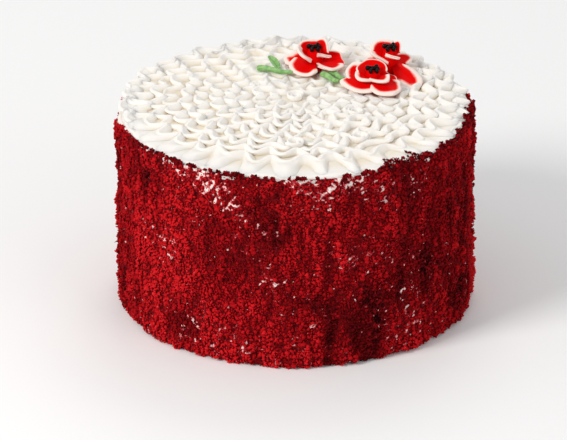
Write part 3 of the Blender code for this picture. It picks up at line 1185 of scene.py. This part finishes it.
@dataclass(frozen=True)
class Wave:
    """How one ring of ribbon swings in and out along its way."""

    swings: Points
    rises: Points
    skews: Points
    phase: float

    @classmethod
    def drawn(cls, lobes: int, draw: np.random.Generator) -> "Wave":
        """Draws the lobes of one ring.

        Args:
            lobes: How many there are.
            draw: The random draw.

        Returns:
            The wave.
        """
        return cls(
            swings=draw.uniform(0.50, 1.35, lobes),
            rises=draw.uniform(-0.0014, 0.0009, lobes),
            skews=draw.uniform(-0.50, 0.50, lobes),
            phase=draw.uniform(),
        )

    def read(self, share: Points) -> tuple[Points, Points, Points]:
        """The wave at each share of the way round.

        Args:
            share: The share, from 0 to 1.

        Returns:
            The wave from -1 to 1, the strength of its swing, and the rise of its crest.
        """
        lobes = len(self.swings)
        turn = (share * lobes + self.phase) % lobes
        lobe = np.floor(turn).astype(int) % lobes
        part = turn - np.floor(turn)
        skew = lerp(self.skews, lobe, part) + 0.62 * np.cos(share * math.tau)
        bent = math.tau * part + skew * np.sin(math.tau * part)
        return np.cos(bent), lerp(self.swings, lobe, part), lerp(self.rises, lobe, part)


def lerp(values: Points, lobe: Points, part: Points) -> Points:
    """Blends from each lobe's value to the next one's.

    Args:
        values: One value for each lobe.
        lobe: The number of the lobe at each point.
        part: How far through it each point is.

    Returns:
        The blended values.
    """
    smooth = part * part * (3 - 2 * part)
    return values[lobe] * (1 - smooth) + values[(lobe + 1) % len(values)] * smooth


@dataclass
class RuffledTop:
    """The icing cap: a smooth bed, and rings of ruffled ribbon piped on it."""

    # The rings of ribbon
    centre_y: float = 0.0105
    ring_count: int = 10
    outer_rings: int = 3
    middle_rings: int = 3
    outer_ring: float = 0.0862
    outermost: float = 0.0950
    ring_pitch: float = 0.0083
    lobe_pitch: float = 0.0160
    columns_a_lobe: int = 16
    levels: tuple[float, ...] = (0.0, 0.35, 0.68, 0.90, 1.0)
    foot_height: float = 0.1150
    crest_height: float = 0.1190
    crest_dip: float = 0.0008
    base_half: float = 0.0014
    lip_half: float = 0.00235
    swing: float = 0.0037
    lean: float = 0.0026
    shake: float = 0.00025
    drift: Layer = Layer(0.0011, 0.020, 3.3)
    hurry: Layer = Layer(0.0034, 0.016, 6.1)
    # The extra ribbon near the rim, and the skirt that falls to the shoulder
    rim_lobes: int = 36
    skirt_levels: tuple[float, ...] = (0.0, 0.22, 0.42, 0.60, 0.76, 0.90)
    skirt_radius: float = 0.0988
    skirt_height: float = 0.1160
    skirt_hem: float = 0.0016
    skirt_fold: float = 0.0023
    skirt_swing: float = 0.0047
    # The bed under the ribbons
    bed_columns: int = 240
    bed_waves: Layer = Layer(0.0006, 0.014, 6.6)
    # The coils
    curl_clearance: float = 0.0010
    curl_seat: float = 0.1177
    curl_middle: float = 0.1183
    curl_turns: float = 1.6
    curl_half: float = 0.0011
    curl_tall: float = 0.0027
    # The warm painted shade of the folds, lighter at the rim and stronger behind
    fold_shade_start: float = 0.0006
    fold_shade_depth: float = 0.0026
    rim_start: float = 0.084
    rim_width: float = 0.008
    less_fold_shade_at_rim: float = 0.85
    back_reach: float = 0.060
    more_fold_shade_behind: float = 0.55
    draw: np.random.Generator = field(default_factory=lambda: np.random.default_rng(23))

    def ring_line(self, ring: int, share: Points) -> Points:
        """The middle line of a ring, ring 0 outermost.

        Args:
            ring: The ring's number.
            share: Shares of the way round the rings' own centre.

        Returns:
            The line's points seen from above, one row each.
        """
        size = self.ring_size(ring)
        drift = self.drift.at(polar(share * math.tau, size, ring * 0.05))
        line = polar(share * math.tau, size + drift, 0.0)[:, :2] + (0, self.centre_y)
        radius = np.hypot(line[:, 0], line[:, 1])
        over = np.maximum(radius - self.outermost + 0.004, 0)
        return line * (1 - over * over / (over + 0.004) / radius)[:, None]

    def ring_size(self, ring: int) -> float:
        """The mean radius of a ring."""
        return self.outer_ring - ring * self.ring_pitch

    def lobes(self, ring: int) -> int:
        """Counts the lobes that fit round a ring; those of the inner rings are narrower.

        Args:
            ring: The ring's number.

        Returns:
            How many there are.
        """
        size = self.ring_size(ring)
        pitch = self.lobe_pitch * (0.55 + 0.45 * size / self.outer_ring)
        return max(5, round(math.tau * size / pitch))

    def limit(self, x: Points, y: Points, height: Points) -> Points:
        """Lowers the icing where flowers, stems and coils press on it.

        Args:
            x: The points' places across the cake.
            y: Their places to the back.
            height: Their heights.

        Returns:
            The heights, lowered.
        """
        spots = [(poppy.x, poppy.y) for poppy in POPPIES]
        for reach, top in ((PETAL_REACH, PETAL_HEIGHT), (SEAT_RADIUS - 0.002, SEAT_HEIGHT)):
            height = np.where(is_pressed(x, y, reach, spots), np.minimum(height, top), height)
        for curl_x, curl_y, size, _ in CURLS:
            under = is_pressed(x, y, size + self.curl_clearance, [(curl_x, curl_y)])
            height = np.where(under, np.minimum(height, self.curl_seat), height)
        under = is_pressed(x, y, STEM_REACH, Stems().press_spots())
        return np.where(under, np.minimum(height, STEM_PRESSED_HEIGHT), height)

    def ribbon(
        self,
        ring: int,
        middle: Callable[[Points], Points],
        lobes: int,
        envelope: Callable[[Points], Points],
        is_skirt: bool = False,
    ) -> bpy.types.Object:
        """One closed ring of ruffled ribbon.

        Args:
            ring: Its number, from the outside in.
            middle: Its middle line seen from above, at each share of the way round.
            lobes: How many lobes it has.
            envelope: How tall it stands at each angle, as a share.
            is_skirt: Whether its outer side runs out to the icing's shoulder.

        Returns:
            The ribbon.
        """
        columns = lobes * self.columns_a_lobe
        share = np.arange(columns) / columns
        base = middle(share)
        angle = np.arctan2(base[:, 1], base[:, 0])
        ahead = np.roll(base, -1, axis=0) - np.roll(base, 1, axis=0)
        length = np.linalg.norm(ahead, axis=1, keepdims=True)
        out = np.column_stack([ahead[:, 1], -ahead[:, 0]]) / length
        size = length.sum() / 2 / math.tau
        hurry = self.hurry.at(np.column_stack([base, np.full(columns, ring * 0.07)]))
        wave, strength, rise = Wave.drawn(lobes, self.draw).read(share + hurry / size / math.tau)
        swing = strength * min(self.skirt_swing if is_skirt else self.swing, 0.25 * size)
        tall = envelope(angle)
        peak = self.crest_height + rise - self.crest_dip * (1 + wave) / 2
        crest = self.foot_height + (peak - self.foot_height) * tall

        def edge(up: float) -> tuple[Points, Points]:
            """The middle points at a share of the ribbon's height, and the way across it there."""
            reach = swing * wave * (0.25 + 0.75 * up) * tall + self.lean * (up**1.3 - 0.35)
            height = self.foot_height + (crest - self.foot_height) * up**0.85
            line = np.column_stack([base + out * reach[:, None], height])
            run = np.roll(line, -1, axis=0) - np.roll(line, 1, axis=0)
            across = np.stack([run[:, 1], -run[:, 0], np.zeros(columns)], axis=1)
            return line, across / np.linalg.norm(across, axis=1, keepdims=True)

        outer, inner = [], []
        for up in self.levels:
            line, across = edge(up)
            half = (self.base_half * (1 - up) ** 1.2 + self.lip_half) * (1 - 0.45 * up**5)
            outer.append(line + across * half)
            inner.append(line - across * half)
        line, _ = edge(1.0)
        top = line + np.array([0, 0, self.lip_half * 0.55])
        if is_skirt:
            outer = self.skirt(angle, wave, outer[-2]) + outer[-1:]
        stack = np.stack(outer + [top] + inner[::-1])
        item = tube(columns, len(stack), is_ring=True)

        def place(where: Points, level: Points) -> Points:
            """Looks each point up in the stack of rings."""
            found = stack[level.astype(int), np.round(where * columns).astype(int) % columns]
            shake = np.stack([cloud(found, 0.005, seed) for seed in (1.0, 2.0, 3.0)], axis=1)
            found = found + self.shake * shake
            found[:, 2] = self.limit(found[:, 0], found[:, 1], found[:, 2])
            return found

        shape_tube(item, place)
        face_outwards(item)
        return smoothed(item, 1)

    def skirt(self, angle: Points, wave: Points, lip: Points) -> list[Points]:
        """The folds that run from the icing's shoulder up to the outer ribbon's lip.

        Args:
            angle: The angles of the columns.
            wave: The wave at each column.
            lip: The points at the lip.

        Returns:
            The rings of points, from the shoulder up.
        """
        foot = polar(angle, self.skirt_radius, self.skirt_height)
        rings = [foot - np.array([0, 0, self.skirt_hem])]
        for up in self.skirt_levels:
            level = foot + (lip - foot) * up
            level[:, 2] = self.skirt_height + (lip[:, 2] - self.skirt_height) * up**1.9
            level[:, 2] += self.skirt_fold * wave * up * (1 - up) * 4
            rings.append(level)
        return rings + [lip]

    def bed(self) -> bpy.types.Object:
        """Turns the smooth icing under the ribbons, with its rounded shoulder.

        Returns:
            The bed.
        """
        profile = (
            (0.0985, 0.1070),
            (0.0992, 0.1120),
            (0.0994, 0.1146),
            (0.0991, 0.1157),
            (0.0983, 0.1164),
            (0.0965, 0.1166),
            (0.0930, 0.1164),
            (0.0880, 0.1160),
            (0.0600, 0.1165),
            (0.0300, 0.1167),
            (0.0060, 0.1167),
        )

        def place(angle: Points, radius: Points, height: Points, number: Points) -> Points:
            """Makes the profile a little wavy, but for its foot."""
            wavy = self.bed_waves.at(polar(angle, radius, height))
            return polar(angle, radius + wavy * 0.5, height + wavy * (number > 1))

        item = turned(self.bed_columns, profile, place, 1)
        item.name = "icing_bed"
        return item

    def curl(self, x: float, y: float, size: float, turn: float) -> bpy.types.Object:
        """A small coil of ribbon where the piping turns on itself.

        Args:
            x: Its middle, across the cake.
            y: Its middle, to the back.
            size: Its radius.
            turn: The angle at which its outer end lies, in degrees.

        Returns:
            The coil.
        """
        steps = 46

        def place(share: Points, level: Points) -> Points:
            """Runs the tube along a spiral, wide at its base and thin at its edge."""
            along = level / (steps - 1)
            is_end = (level == 0) | (level == steps - 1)
            bend = math.radians(turn) + along * math.tau * self.curl_turns
            out = np.cos(share * math.tau) * self.curl_half * np.where(is_end, 0.2, 1.0)
            up = np.sin(share * math.tau) * self.curl_tall * np.where(is_end, 0.4, 1.0)
            radius = size * (1 - 0.72 * along) + out + up * 0.35
            height = self.curl_middle - 0.0012 * along + up
            return np.stack([x + radius * np.cos(bend), y + radius * np.sin(bend), height], axis=1)

        return closed_tube(10, steps, place, 1)

    def finish_piece(self, item: bpy.types.Object, material: bpy.types.Material) -> None:
        """Stores how deep each point lies, as the mask of the painted shade in the folds, and dresses the
        piece.

        Args:
            item: The piece.
            material: Its finish.
        """
        points = points_of(item)
        radius = np.hypot(points[:, 0], points[:, 1])
        # Painted shade: the deeper below the crest, the warmer and darker the icing, less at the rim and
        # more behind.
        depth = fade(self.crest_height - self.fold_shade_start - points[:, 2], 0, self.fold_shade_depth)
        behind = fade(points[:, 1], 0, self.back_reach)
        fold_shade_cut = self.less_fold_shade_at_rim * fade(radius, self.rim_start, self.rim_width) * (1 - behind)
        store(item, "depth", depth * (1 - fold_shade_cut) * (1 + self.more_fold_shade_behind * behind))
        dress(item, material, ["icing_top"])

    def build(self) -> None:
        """Makes and dresses the icing."""
        material = IcingFinish().material()

        def whole(angle: Points) -> Points:
            """A ribbon that stands as tall all round."""
            return np.ones(angle.shape)

        def sides(angle: Points) -> Points:
            """A ribbon that sinks into the skirt at the front."""
            return 0.12 + 0.84 * fade(np.sin(angle), -0.45, 0.35)

        def rim(share: Points) -> Points:
            """The line of the extra ribbon near the edge."""
            line = self.ring_line(0, share)
            radius = np.hypot(line[:, 0], line[:, 1])
            return line * (np.clip(radius + 0.0066, 0.0940, 0.0962) / radius)[:, None]

        ribbons = [self.ribbon(-1, rim, self.rim_lobes, sides)]
        for ring in range(self.ring_count):
            line = partial(self.ring_line, ring)
            ribbons.append(self.ribbon(ring, line, self.lobes(ring), whole, is_skirt=ring == 0))
        coils = [self.curl(*spot) for spot in CURLS]
        first, last = self.outer_rings, self.outer_rings + self.middle_rings
        self.finish_piece(join(ribbons[:first], "icing_ruffles_outer"), material)
        self.finish_piece(join(ribbons[first:last], "icing_ruffles_middle"), material)
        self.finish_piece(join(ribbons[last:] + coils, "icing_ruffles_inner"), material)
        self.finish_piece(self.bed(), material)


# The coils in the icing: x, y, radius, and the turn of the outer end in degrees
CURLS = (
    (-0.0007, -0.0560, 0.0052, 200.0),
    (0.0358, -0.0475, 0.0052, 160.0),
    (0.0345, -0.0120, 0.0042, 100.0),
    (0.0000, 0.0105, 0.0046, 20.0),
)


# ---------------------------------------------------------------- the flowers


Rim = tuple[tuple[float, float, float], ...]


@dataclass(frozen=True)
class Petal:
    """One piped petal, a fan from the flower's middle to its rim.

    The rim's points are a direction in degrees, and millimetres outwards and upwards.
    """

    rim: Rim
    root: float = 3.4
    cup: float = 1.8
    lip: float = 2.3


@dataclass(frozen=True)
class Poppy:
    """One poppy: where it sits on the icing, how tall its heart is, and its petals."""

    name: str
    x: float
    y: float
    heart_height: float
    petals: tuple[Petal, ...]


LEFT_PETALS = (
    Petal(
        ((280, 13.2, 4.6), (252, 17.8, 4.1), (228, 18.0, 4.4), (198, 15.6, 5.3), (166, 12.5, 7.4)),
        root=6.4,
        cup=1.0,
        lip=2.9,
    ),
    Petal(((196, 13.5, 4.8), (181, 17.0, 5.3), (163, 17.8, 7.2), (150, 12.5, 10.0)), 5.4, 1.2, 2.6),
    Petal(((140, 11.0, 8.5), (110, 13.8, 8.0), (75, 14.4, 7.5), (45, 12.0, 8.0)), 3.6, 1.8, 1.2),
    Petal(((45, 9.5, 10.6), (27, 14.0, 9.8), (6, 17.0, 8.3), (-15, 18.6, 6.6)), 4.0, 1.4, 0.9),
    Petal(
        ((283, 5.0, 6.2), (291, 13.4, 7.0), (306, 19.2, 7.3), (323, 20.0, 7.3), (337, 18.4, 7.3)),
        root=6.0,
        cup=2.0,
        lip=3.0,
    ),
    Petal(((256, 6.8, 7.8), (236, 9.3, 11.2), (208, 10.2, 14.2), (165, 9.4, 16.2)), 8.5, 1.2, 3.7),
    Petal(((172, 9.4, 15.0), (140, 8.8, 16.6), (105, 6.6, 17.2), (75, 6.2, 17.2)), 10.5, 1.1, 1.4),
    Petal(((80, 6.0, 17.0), (48, 7.4, 18.3), (15, 7.6, 16.8), (-10, 8.6, 11.5)), 10.5, 1.1, 1.2),
    Petal(((292, 5.0, 12.7), (322, 5.8, 11.9), (339, 8.2, 10.9), (348, 10.8, 10.2)), 9.5, 1.2, 2.6),
)
FRONT_PETALS = (
    Petal(
        ((268, 12.0, 4.4), (236, 14.2, 4.1), (203, 16.0, 4.2), (168, 19.4, 5.2), (143, 14.0, 6.0)),
        root=7.4,
        cup=1.0,
        lip=2.9,
    ),
    Petal(
        ((256, 9.0, 4.9), (276, 16.4, 5.1), (302, 20.8, 5.1), (330, 19.6, 5.7), (352, 14.5, 7.4)),
        root=7.4,
        cup=1.0,
        lip=3.1,
    ),
    Petal(((100, 12.0, 8.0), (62, 13.8, 7.4), (25, 14.9, 6.7), (-8, 14.0, 6.5)), 3.6, 1.8, 1.0),
    Petal(((168, 15.5, 6.4), (147, 18.9, 7.9), (129, 18.6, 11.2), (108, 12.0, 13.4)), 5.2, 1.3, 2.4),
    Petal(((262, 8.0, 10.0), (237, 10.5, 10.2), (209, 11.8, 11.0), (180, 10.3, 12.6)), 9.0, 1.4, 3.0),
    Petal(((246, 6.8, 10.4), (276, 10.2, 10.4), (308, 13.4, 10.7), (340, 10.2, 12.2)), 9.0, 1.4, 3.0),
    Petal(((186, 9.2, 12.6), (130, 11.8, 13.8), (76, 11.9, 14.7), (10, 8.2, 12.0)), 9.5, 1.1, 1.1),
)
BACK_PETALS = (
    Petal(
        (
            (281, 20.0, 2.4),
            (292, 26.8, 1.7),
            (303, 29.4, 2.1),
            (317, 26.0, 4.2),
            (334, 17.6, 5.8),
            (347, 10.8, 7.2),
        ),
        root=8.5,
        cup=0.8,
        lip=5.0,
    ),
    Petal(((62, 10.5, 10.6), (42, 14.2, 9.9), (22, 14.4, 8.4), (2, 11.0, 7.0)), 7.0, 1.3, 2.0),
    Petal(((135, 12.0, 9.0), (112, 13.8, 8.6), (88, 14.0, 8.2), (66, 13.0, 8.5)), 5.0, 1.8, 1.0),
    Petal(((185, 10.0, 5.6), (161, 14.2, 6.3), (149, 15.6, 7.9), (140, 12.5, 9.6)), 5.0, 1.4, 1.4),
    Petal(((262, 6.2, 9.6), (222, 6.9, 11.9), (184, 11.2, 14.5), (150, 11.0, 18.2)), 10.5, 1.2, 3.6),
    Petal(((176, 10.8, 15.6), (140, 9.6, 19.2), (105, 6.0, 20.1), (70, 4.6, 19.9)), 11.0, 1.1, 1.4),
    Petal(((66, 4.8, 19.2), (38, 6.6, 20.3), (8, 6.7, 18.8), (-14, 6.4, 15.4)), 13.0, 1.1, 0.9),
    Petal(((240, 5.0, 15.4), (268, 5.3, 14.9), (298, 6.1, 13.8), (321, 8.1, 13.0)), 12.0, 1.2, 2.4),
)
POPPIES = (
    Poppy("poppy_left", 0.0110, 0.0540, 0.0138, LEFT_PETALS),
    Poppy("poppy_front", 0.0445, 0.0240, 0.0128, FRONT_PETALS),
    Poppy("poppy_back", 0.0545, 0.0470, 0.0168, BACK_PETALS),
)


def through(knots: Points, at: Points) -> Points:
    """A smooth curve through knots.

    Args:
        knots: The knots, one row each.
        at: Where to read it, from 0 at the first knot to 1 at the last.

    Returns:
        The points on the curve.
    """
    padded = np.vstack([2 * knots[0] - knots[1], knots, 2 * knots[-1] - knots[-2]])
    place = np.clip(at, 0, 1) * (len(knots) - 1)
    first = np.minimum(place.astype(int), len(knots) - 2)
    t = (place - first)[:, None]
    a, b, c, d = (padded[first + step] for step in range(4))
    return b + 0.5 * t * (c - a + t * (2 * a - 5 * b + 4 * c - d + t * (3 * (b - c) + d - a)))


@dataclass
class PoppyBuilder:
    """Builds the petals, the heart and the beads of one poppy."""

    poppy: Poppy
    petal_thickness: float = 0.0016
    root_radius: float = 0.0020
    roll: float = 0.0005
    waviness: float = 0.0005
    bead_radius: float = 0.00150
    bead_count: int = 6
    bead_ring: float = 0.0034
    heart_painted_shade: float = 0.34
    draw: np.random.Generator = field(default_factory=lambda: np.random.default_rng(31))

    def petal(self, petal: Petal) -> bpy.types.Object:
        """One petal with its lip.

        Args:
            petal: Its shape.

        Returns:
            The petal, closed.
        """
        item, along, across = grid_sheet(12, 26)
        rim = through(np.array(petal.rim), (across + 1) / 2)
        turn = np.radians(rim[:, 0])
        wavy = cloud(polar(turn, rim[:, 1] * MM, rim[:, 2] * MM), 0.0045, self.poppy.x * 100)
        reach = rim[:, 1] * MM * (1 + 0.05 * wavy)
        radius = self.root_radius + (reach - self.root_radius) * along
        root = petal.root * MM
        height = root + (rim[:, 2] * MM - root) * along**petal.cup
        height -= self.roll * fade(along, 0.84, 0.16) ** 2
        height += self.waviness * wavy * along**2
        points = polar(turn, radius, height) + (self.poppy.x, self.poppy.y, SEAT_HEIGHT + GAP)
        move_points(item, points)
        away = (points[:, None] - points[along > 0.999]) * (1, 1, 0.7)
        to_lip = np.linalg.norm(away, axis=2).min(axis=1)
        lip = petal.lip * MM * (0.9 + 0.22 * wavy)
        # Painted shade: the red darkens towards the root, where the petals meet.
        red = 0.62 * np.clip(along * 1.5, 0, 1)
        store(item, "rim", red + (1 - red) * np.clip(1.35 - to_lip / lip, 0, 1))
        return thick_sheet(item, self.petal_thickness)

    def heart(self) -> bpy.types.Object:
        """Turns the mound that carries the petals and the beads.

        Returns:
            The heart.
        """
        peak = self.poppy.heart_height
        profile = (
            (0.0058, 0.0),
            (0.0052, 0.25 * peak),
            (0.0044, peak - 0.0030),
            (0.0038, peak - 0.0010),
            (0.0020, peak - 0.0002),
        )

        def place(angle: Points, radius: Points, height: Points, _: Points) -> Points:
            """Sets the profile round the heart's own axis."""
            return polar(angle, radius, height + SEAT_HEIGHT + GAP) + (self.poppy.x, self.poppy.y, 0)

        item = turned(16, profile, place, 2)
        item.name = f"{self.poppy.name}_heart"
        # A little painted shade darkens the heart's red.
        store(item, "rim", np.full(len(item.data.vertices), self.heart_painted_shade))
        return item

    def beads(self) -> bpy.types.Object:
        """Sets small dark beads on the heart, in a ring round one in the middle.

        Returns:
            The beads.
        """
        top = SEAT_HEIGHT + GAP + self.poppy.heart_height
        made = []
        for index in range(self.bead_count + 1):
            angle = math.tau * index / self.bead_count + self.draw.uniform(-0.3, 0.3)
            reach = self.bead_ring * self.draw.uniform(0.75, 1.0)
            height = top + self.draw.uniform(-0.0006, 0.0008)
            if index == self.bead_count:
                reach, height = 0.0002, top + 0.0008
            middle = (self.poppy.x, self.poppy.y, 0)
            spot = np.array([reach * math.cos(angle), reach * math.sin(angle), height]) + middle
            bpy.ops.object.select_all(action="DESELECT")
            bpy.ops.mesh.primitive_uv_sphere_add(segments=20, ring_count=12, radius=self.bead_radius)
            bead = bpy.context.object
            points = points_of(bead)
            points *= self.draw.uniform(0.80, 1.12, 3)
            points *= (1 + 0.07 * cloud(points, 0.0012, index + 1.5))[:, None]
            move_points(bead, points + spot)
            bpy.ops.object.shade_smooth()
            made.append(bead)
        return join(made, f"{self.poppy.name}_beads")

    def build(self, finishes: tuple[bpy.types.Material, bpy.types.Material]) -> None:
        """Makes and dresses the flower.

        Args:
            finishes: The finishes of the icing and of the beads.
        """
        name = self.poppy.name
        icing, sugar = finishes
        petals = [self.petal(petal) for petal in self.poppy.petals]
        dress(join(petals, f"{name}_petals"), icing, [name])
        dress(self.heart(), icing, [name])
        dress(self.beads(), sugar, [name])


Route = tuple[Spot, ...]


@dataclass
class Stems:
    """The piped stems and the leaf."""

    radius: float = 0.0018
    taper: float = 0.40
    blunt_end: float = 0.62
    flatness: float = 0.92
    ridges: int = 5
    ridge_depth: float = 0.05
    stem_height: float = 0.1199
    left: Route = ((-0.0222, 0.0496), (-0.0150, 0.0478), (-0.0085, 0.0452), (-0.0015, 0.0428))
    right: Route = ((0.0150, 0.0412), (0.0185, 0.0372), (0.0206, 0.0345), (0.0228, 0.0315), (0.0250, 0.0292))
    upper: Route = ((0.0200, 0.0446), (0.0232, 0.0402), (0.0246, 0.0378), (0.0262, 0.0352), (0.0280, 0.0330))
    leaf_root: tuple[float, float, float] = (-0.0098, 0.0495, 0.1198)
    leaf_direction: float = 112.0
    leaf_rise: float = 18.0
    leaf_thickness: float = 0.0011
    leaf_length: float = 0.0128
    leaf_width: float = 0.0042

    def press_spots(self) -> list[Spot]:
        """Finds spots along the stems where the icing is pressed down.

        Returns:
            The spots.
        """
        spots = []
        for route in (self.left, self.right, self.upper):
            for start, end in zip(route, route[1:]):
                for step in range(5):
                    share = step / 4
                    spots.append(tuple(a + share * (b - a) for a, b in zip(start, end)))
        return spots

    def stem(self, route: Route) -> bpy.types.Object:
        """One piped stem, ridged along its length, blunt at its start.

        Args:
            route: Its way over the icing.

        Returns:
            The stem.
        """
        steps = 22
        line = through(np.array(route), np.linspace(0, 1, steps))
        run = np.gradient(line, axis=0)
        across = np.stack([-run[:, 1], run[:, 0]], axis=1) / np.hypot(run[:, 0], run[:, 1])[:, None]

        def place(share: Points, level: Points) -> Points:
            """Sets the tube's rings along the route."""
            number = level.astype(int)
            along = number / (steps - 1)
            ridged = 1 + self.ridge_depth * np.cos(self.ridges * math.tau * share)
            size = self.radius * (1.10 - self.taper * along) * ridged
            size = size * np.where((number == 0) | (number == steps - 1), self.blunt_end, 1.0)
            size = size * (1 + 0.05 * np.sin(along * 13.0))
            side = np.cos(share * math.tau) * size
            up = np.sin(share * math.tau) * size * self.flatness
            spots = line[number] + across[number] * side[:, None]
            lift = self.stem_height + 0.0003 * np.sin(along * 7.0)
            return np.column_stack([spots, lift + up])

        return closed_tube(14, steps, place, 1)

    def leaf(self) -> bpy.types.Object:
        """Makes the pointed leaf, folded along its middle.

        Returns:
            The leaf.
        """
        item, along, across = grid_sheet(14, 8)
        half = self.leaf_width / 2 * np.sin(np.pi * (0.14 + 0.84 * along)) ** 0.8
        rise = math.radians(self.leaf_rise)
        x = self.leaf_length * along * math.cos(rise)
        y = half * across + 0.0010 * along**2
        z = self.leaf_length * along * math.sin(rise) * (1.25 - 0.35 * along) + np.abs(across) * half * 0.55
        turn = math.radians(self.leaf_direction)
        across_cake = x * math.cos(turn) - y * math.sin(turn)
        to_back = x * math.sin(turn) + y * math.cos(turn)
        move_points(item, np.stack([across_cake, to_back, z], axis=1) + self.leaf_root)
        return thick_sheet(item, self.leaf_thickness)

    def build(self, finish: bpy.types.Material) -> None:
        """Makes and dresses the stems and the leaf.

        Args:
            finish: The finish of all of them.
        """
        pieces = {
            "stem_left": self.stem(self.left),
            "stem_right": self.stem(self.right),
            "stem_upper": self.stem(self.upper),
            "leaf_left": self.leaf(),
        }
        for name, item in pieces.items():
            item.name = f"piped_{name}"
            dress(item, finish, [name])


# ---------------------------------------------------------------- the studio


@dataclass(frozen=True)
class Lamp:
    """A soft round lamp: its name, its place, its width in metres, its power in watts, its colour."""

    name: str
    spot: tuple[float, float, float]
    size: float
    power: float
    colour: Colour


@dataclass
class Studio:
    """The floor, the soft lights and the camera."""

    floor_size: float = 12.0
    floor_colour: Colour = (0.93, 0.93, 0.93)
    sky: Colour = (0.99, 0.99, 1.0)
    sky_strength: float = 0.545
    lamps: tuple[Lamp, ...] = (
        Lamp("key", (-1.42, -1.08, 1.35), 0.8, 29.0, (1.0, 0.985, 0.96)),
        Lamp("fill", (1.3, -1.4, 0.9), 1.4, 6.0, (0.99, 0.99, 1.0)),
        Lamp("rim", (0.2, 1.2, 1.5), 1.0, 5.5, (1.0, 0.99, 0.97)),
    )
    distance: float = 3.09
    elevation: float = 24.3
    lens: float = 342.0
    aim: tuple[float, float, float] = (0.0, 0.0, 0.058)
    slide_right: float = -0.0068
    slide_up: float = -0.01095

    def floor(self) -> None:
        """A plain pale floor, a hair under the cake."""
        bpy.ops.object.select_all(action="DESELECT")
        bpy.ops.mesh.primitive_plane_add(size=self.floor_size, location=(0, 0, -0.0002))
        floor = bpy.context.object
        floor.name = "floor"
        sheet = Sheet("pale_floor")
        sheet.set(Base_Color=self.floor_colour, Roughness=0.9, Specular_IOR_Level=0.1)
        floor.data.materials.append(sheet.material)

    def light(self, lamp: Lamp) -> None:
        """Hangs one lamp, which looks at the cake.

        Args:
            lamp: The lamp.
        """
        data = bpy.data.lights.new(lamp.name, "AREA")
        data.shape = "DISK"
        data.size = lamp.size
        data.energy = lamp.power
        data.color = lamp.colour
        item = bpy.data.objects.new(lamp.name, data)
        item.location = lamp.spot
        item.rotation_euler = (Vector(self.aim) - Vector(lamp.spot)).to_track_quat("-Z", "Y").to_euler()
        bpy.context.scene.collection.objects.link(item)

    def camera(self) -> None:
        """The camera, slid a little off the cake's axis."""
        tilt = math.radians(self.elevation)
        back = Vector((0, -math.cos(tilt), math.sin(tilt)))
        up = Vector((0, math.sin(tilt), math.cos(tilt)))
        data = bpy.data.cameras.new("camera")
        data.lens = self.lens
        data.sensor_width = 36.0
        data.clip_end = 30.0
        item = bpy.data.objects.new("camera", data)
        item.location = Vector(self.aim) + back * self.distance + up * self.slide_up
        item.location.x += self.slide_right
        item.rotation_euler = (-back).to_track_quat("-Z", "Y").to_euler()
        bpy.context.scene.collection.objects.link(item)
        bpy.context.scene.camera = item

    def build(self) -> None:
        """Sets up the floor, the lamps, the pale sky and the camera."""
        self.floor()
        for lamp in self.lamps:
            self.light(lamp)
        world = bpy.data.worlds.new("studio")
        world.use_nodes = True
        background = world.node_tree.nodes["Background"]
        background.inputs["Color"].default_value = (*self.sky, 1.0)
        background.inputs["Strength"].default_value = self.sky_strength
        bpy.context.scene.world = world
        bpy.context.scene.view_settings.view_transform = "Standard"
        self.camera()


def main() -> None:
    """Builds every piece in order."""
    logging.basicConfig(level=logging.INFO, format="%(message)s")
    Studio().build()
    CrumbCoat().build()
    RuffledTop().build()
    petal_finish = PetalFinish().material()
    bead_finish = DARK_BEAD.material()
    stem_finish = GREEN_ICING.material()
    for poppy in POPPIES:
        PoppyBuilder(poppy).build((petal_finish, bead_finish))
    Stems().build(stem_finish)


if __name__ == "__main__":
    main()
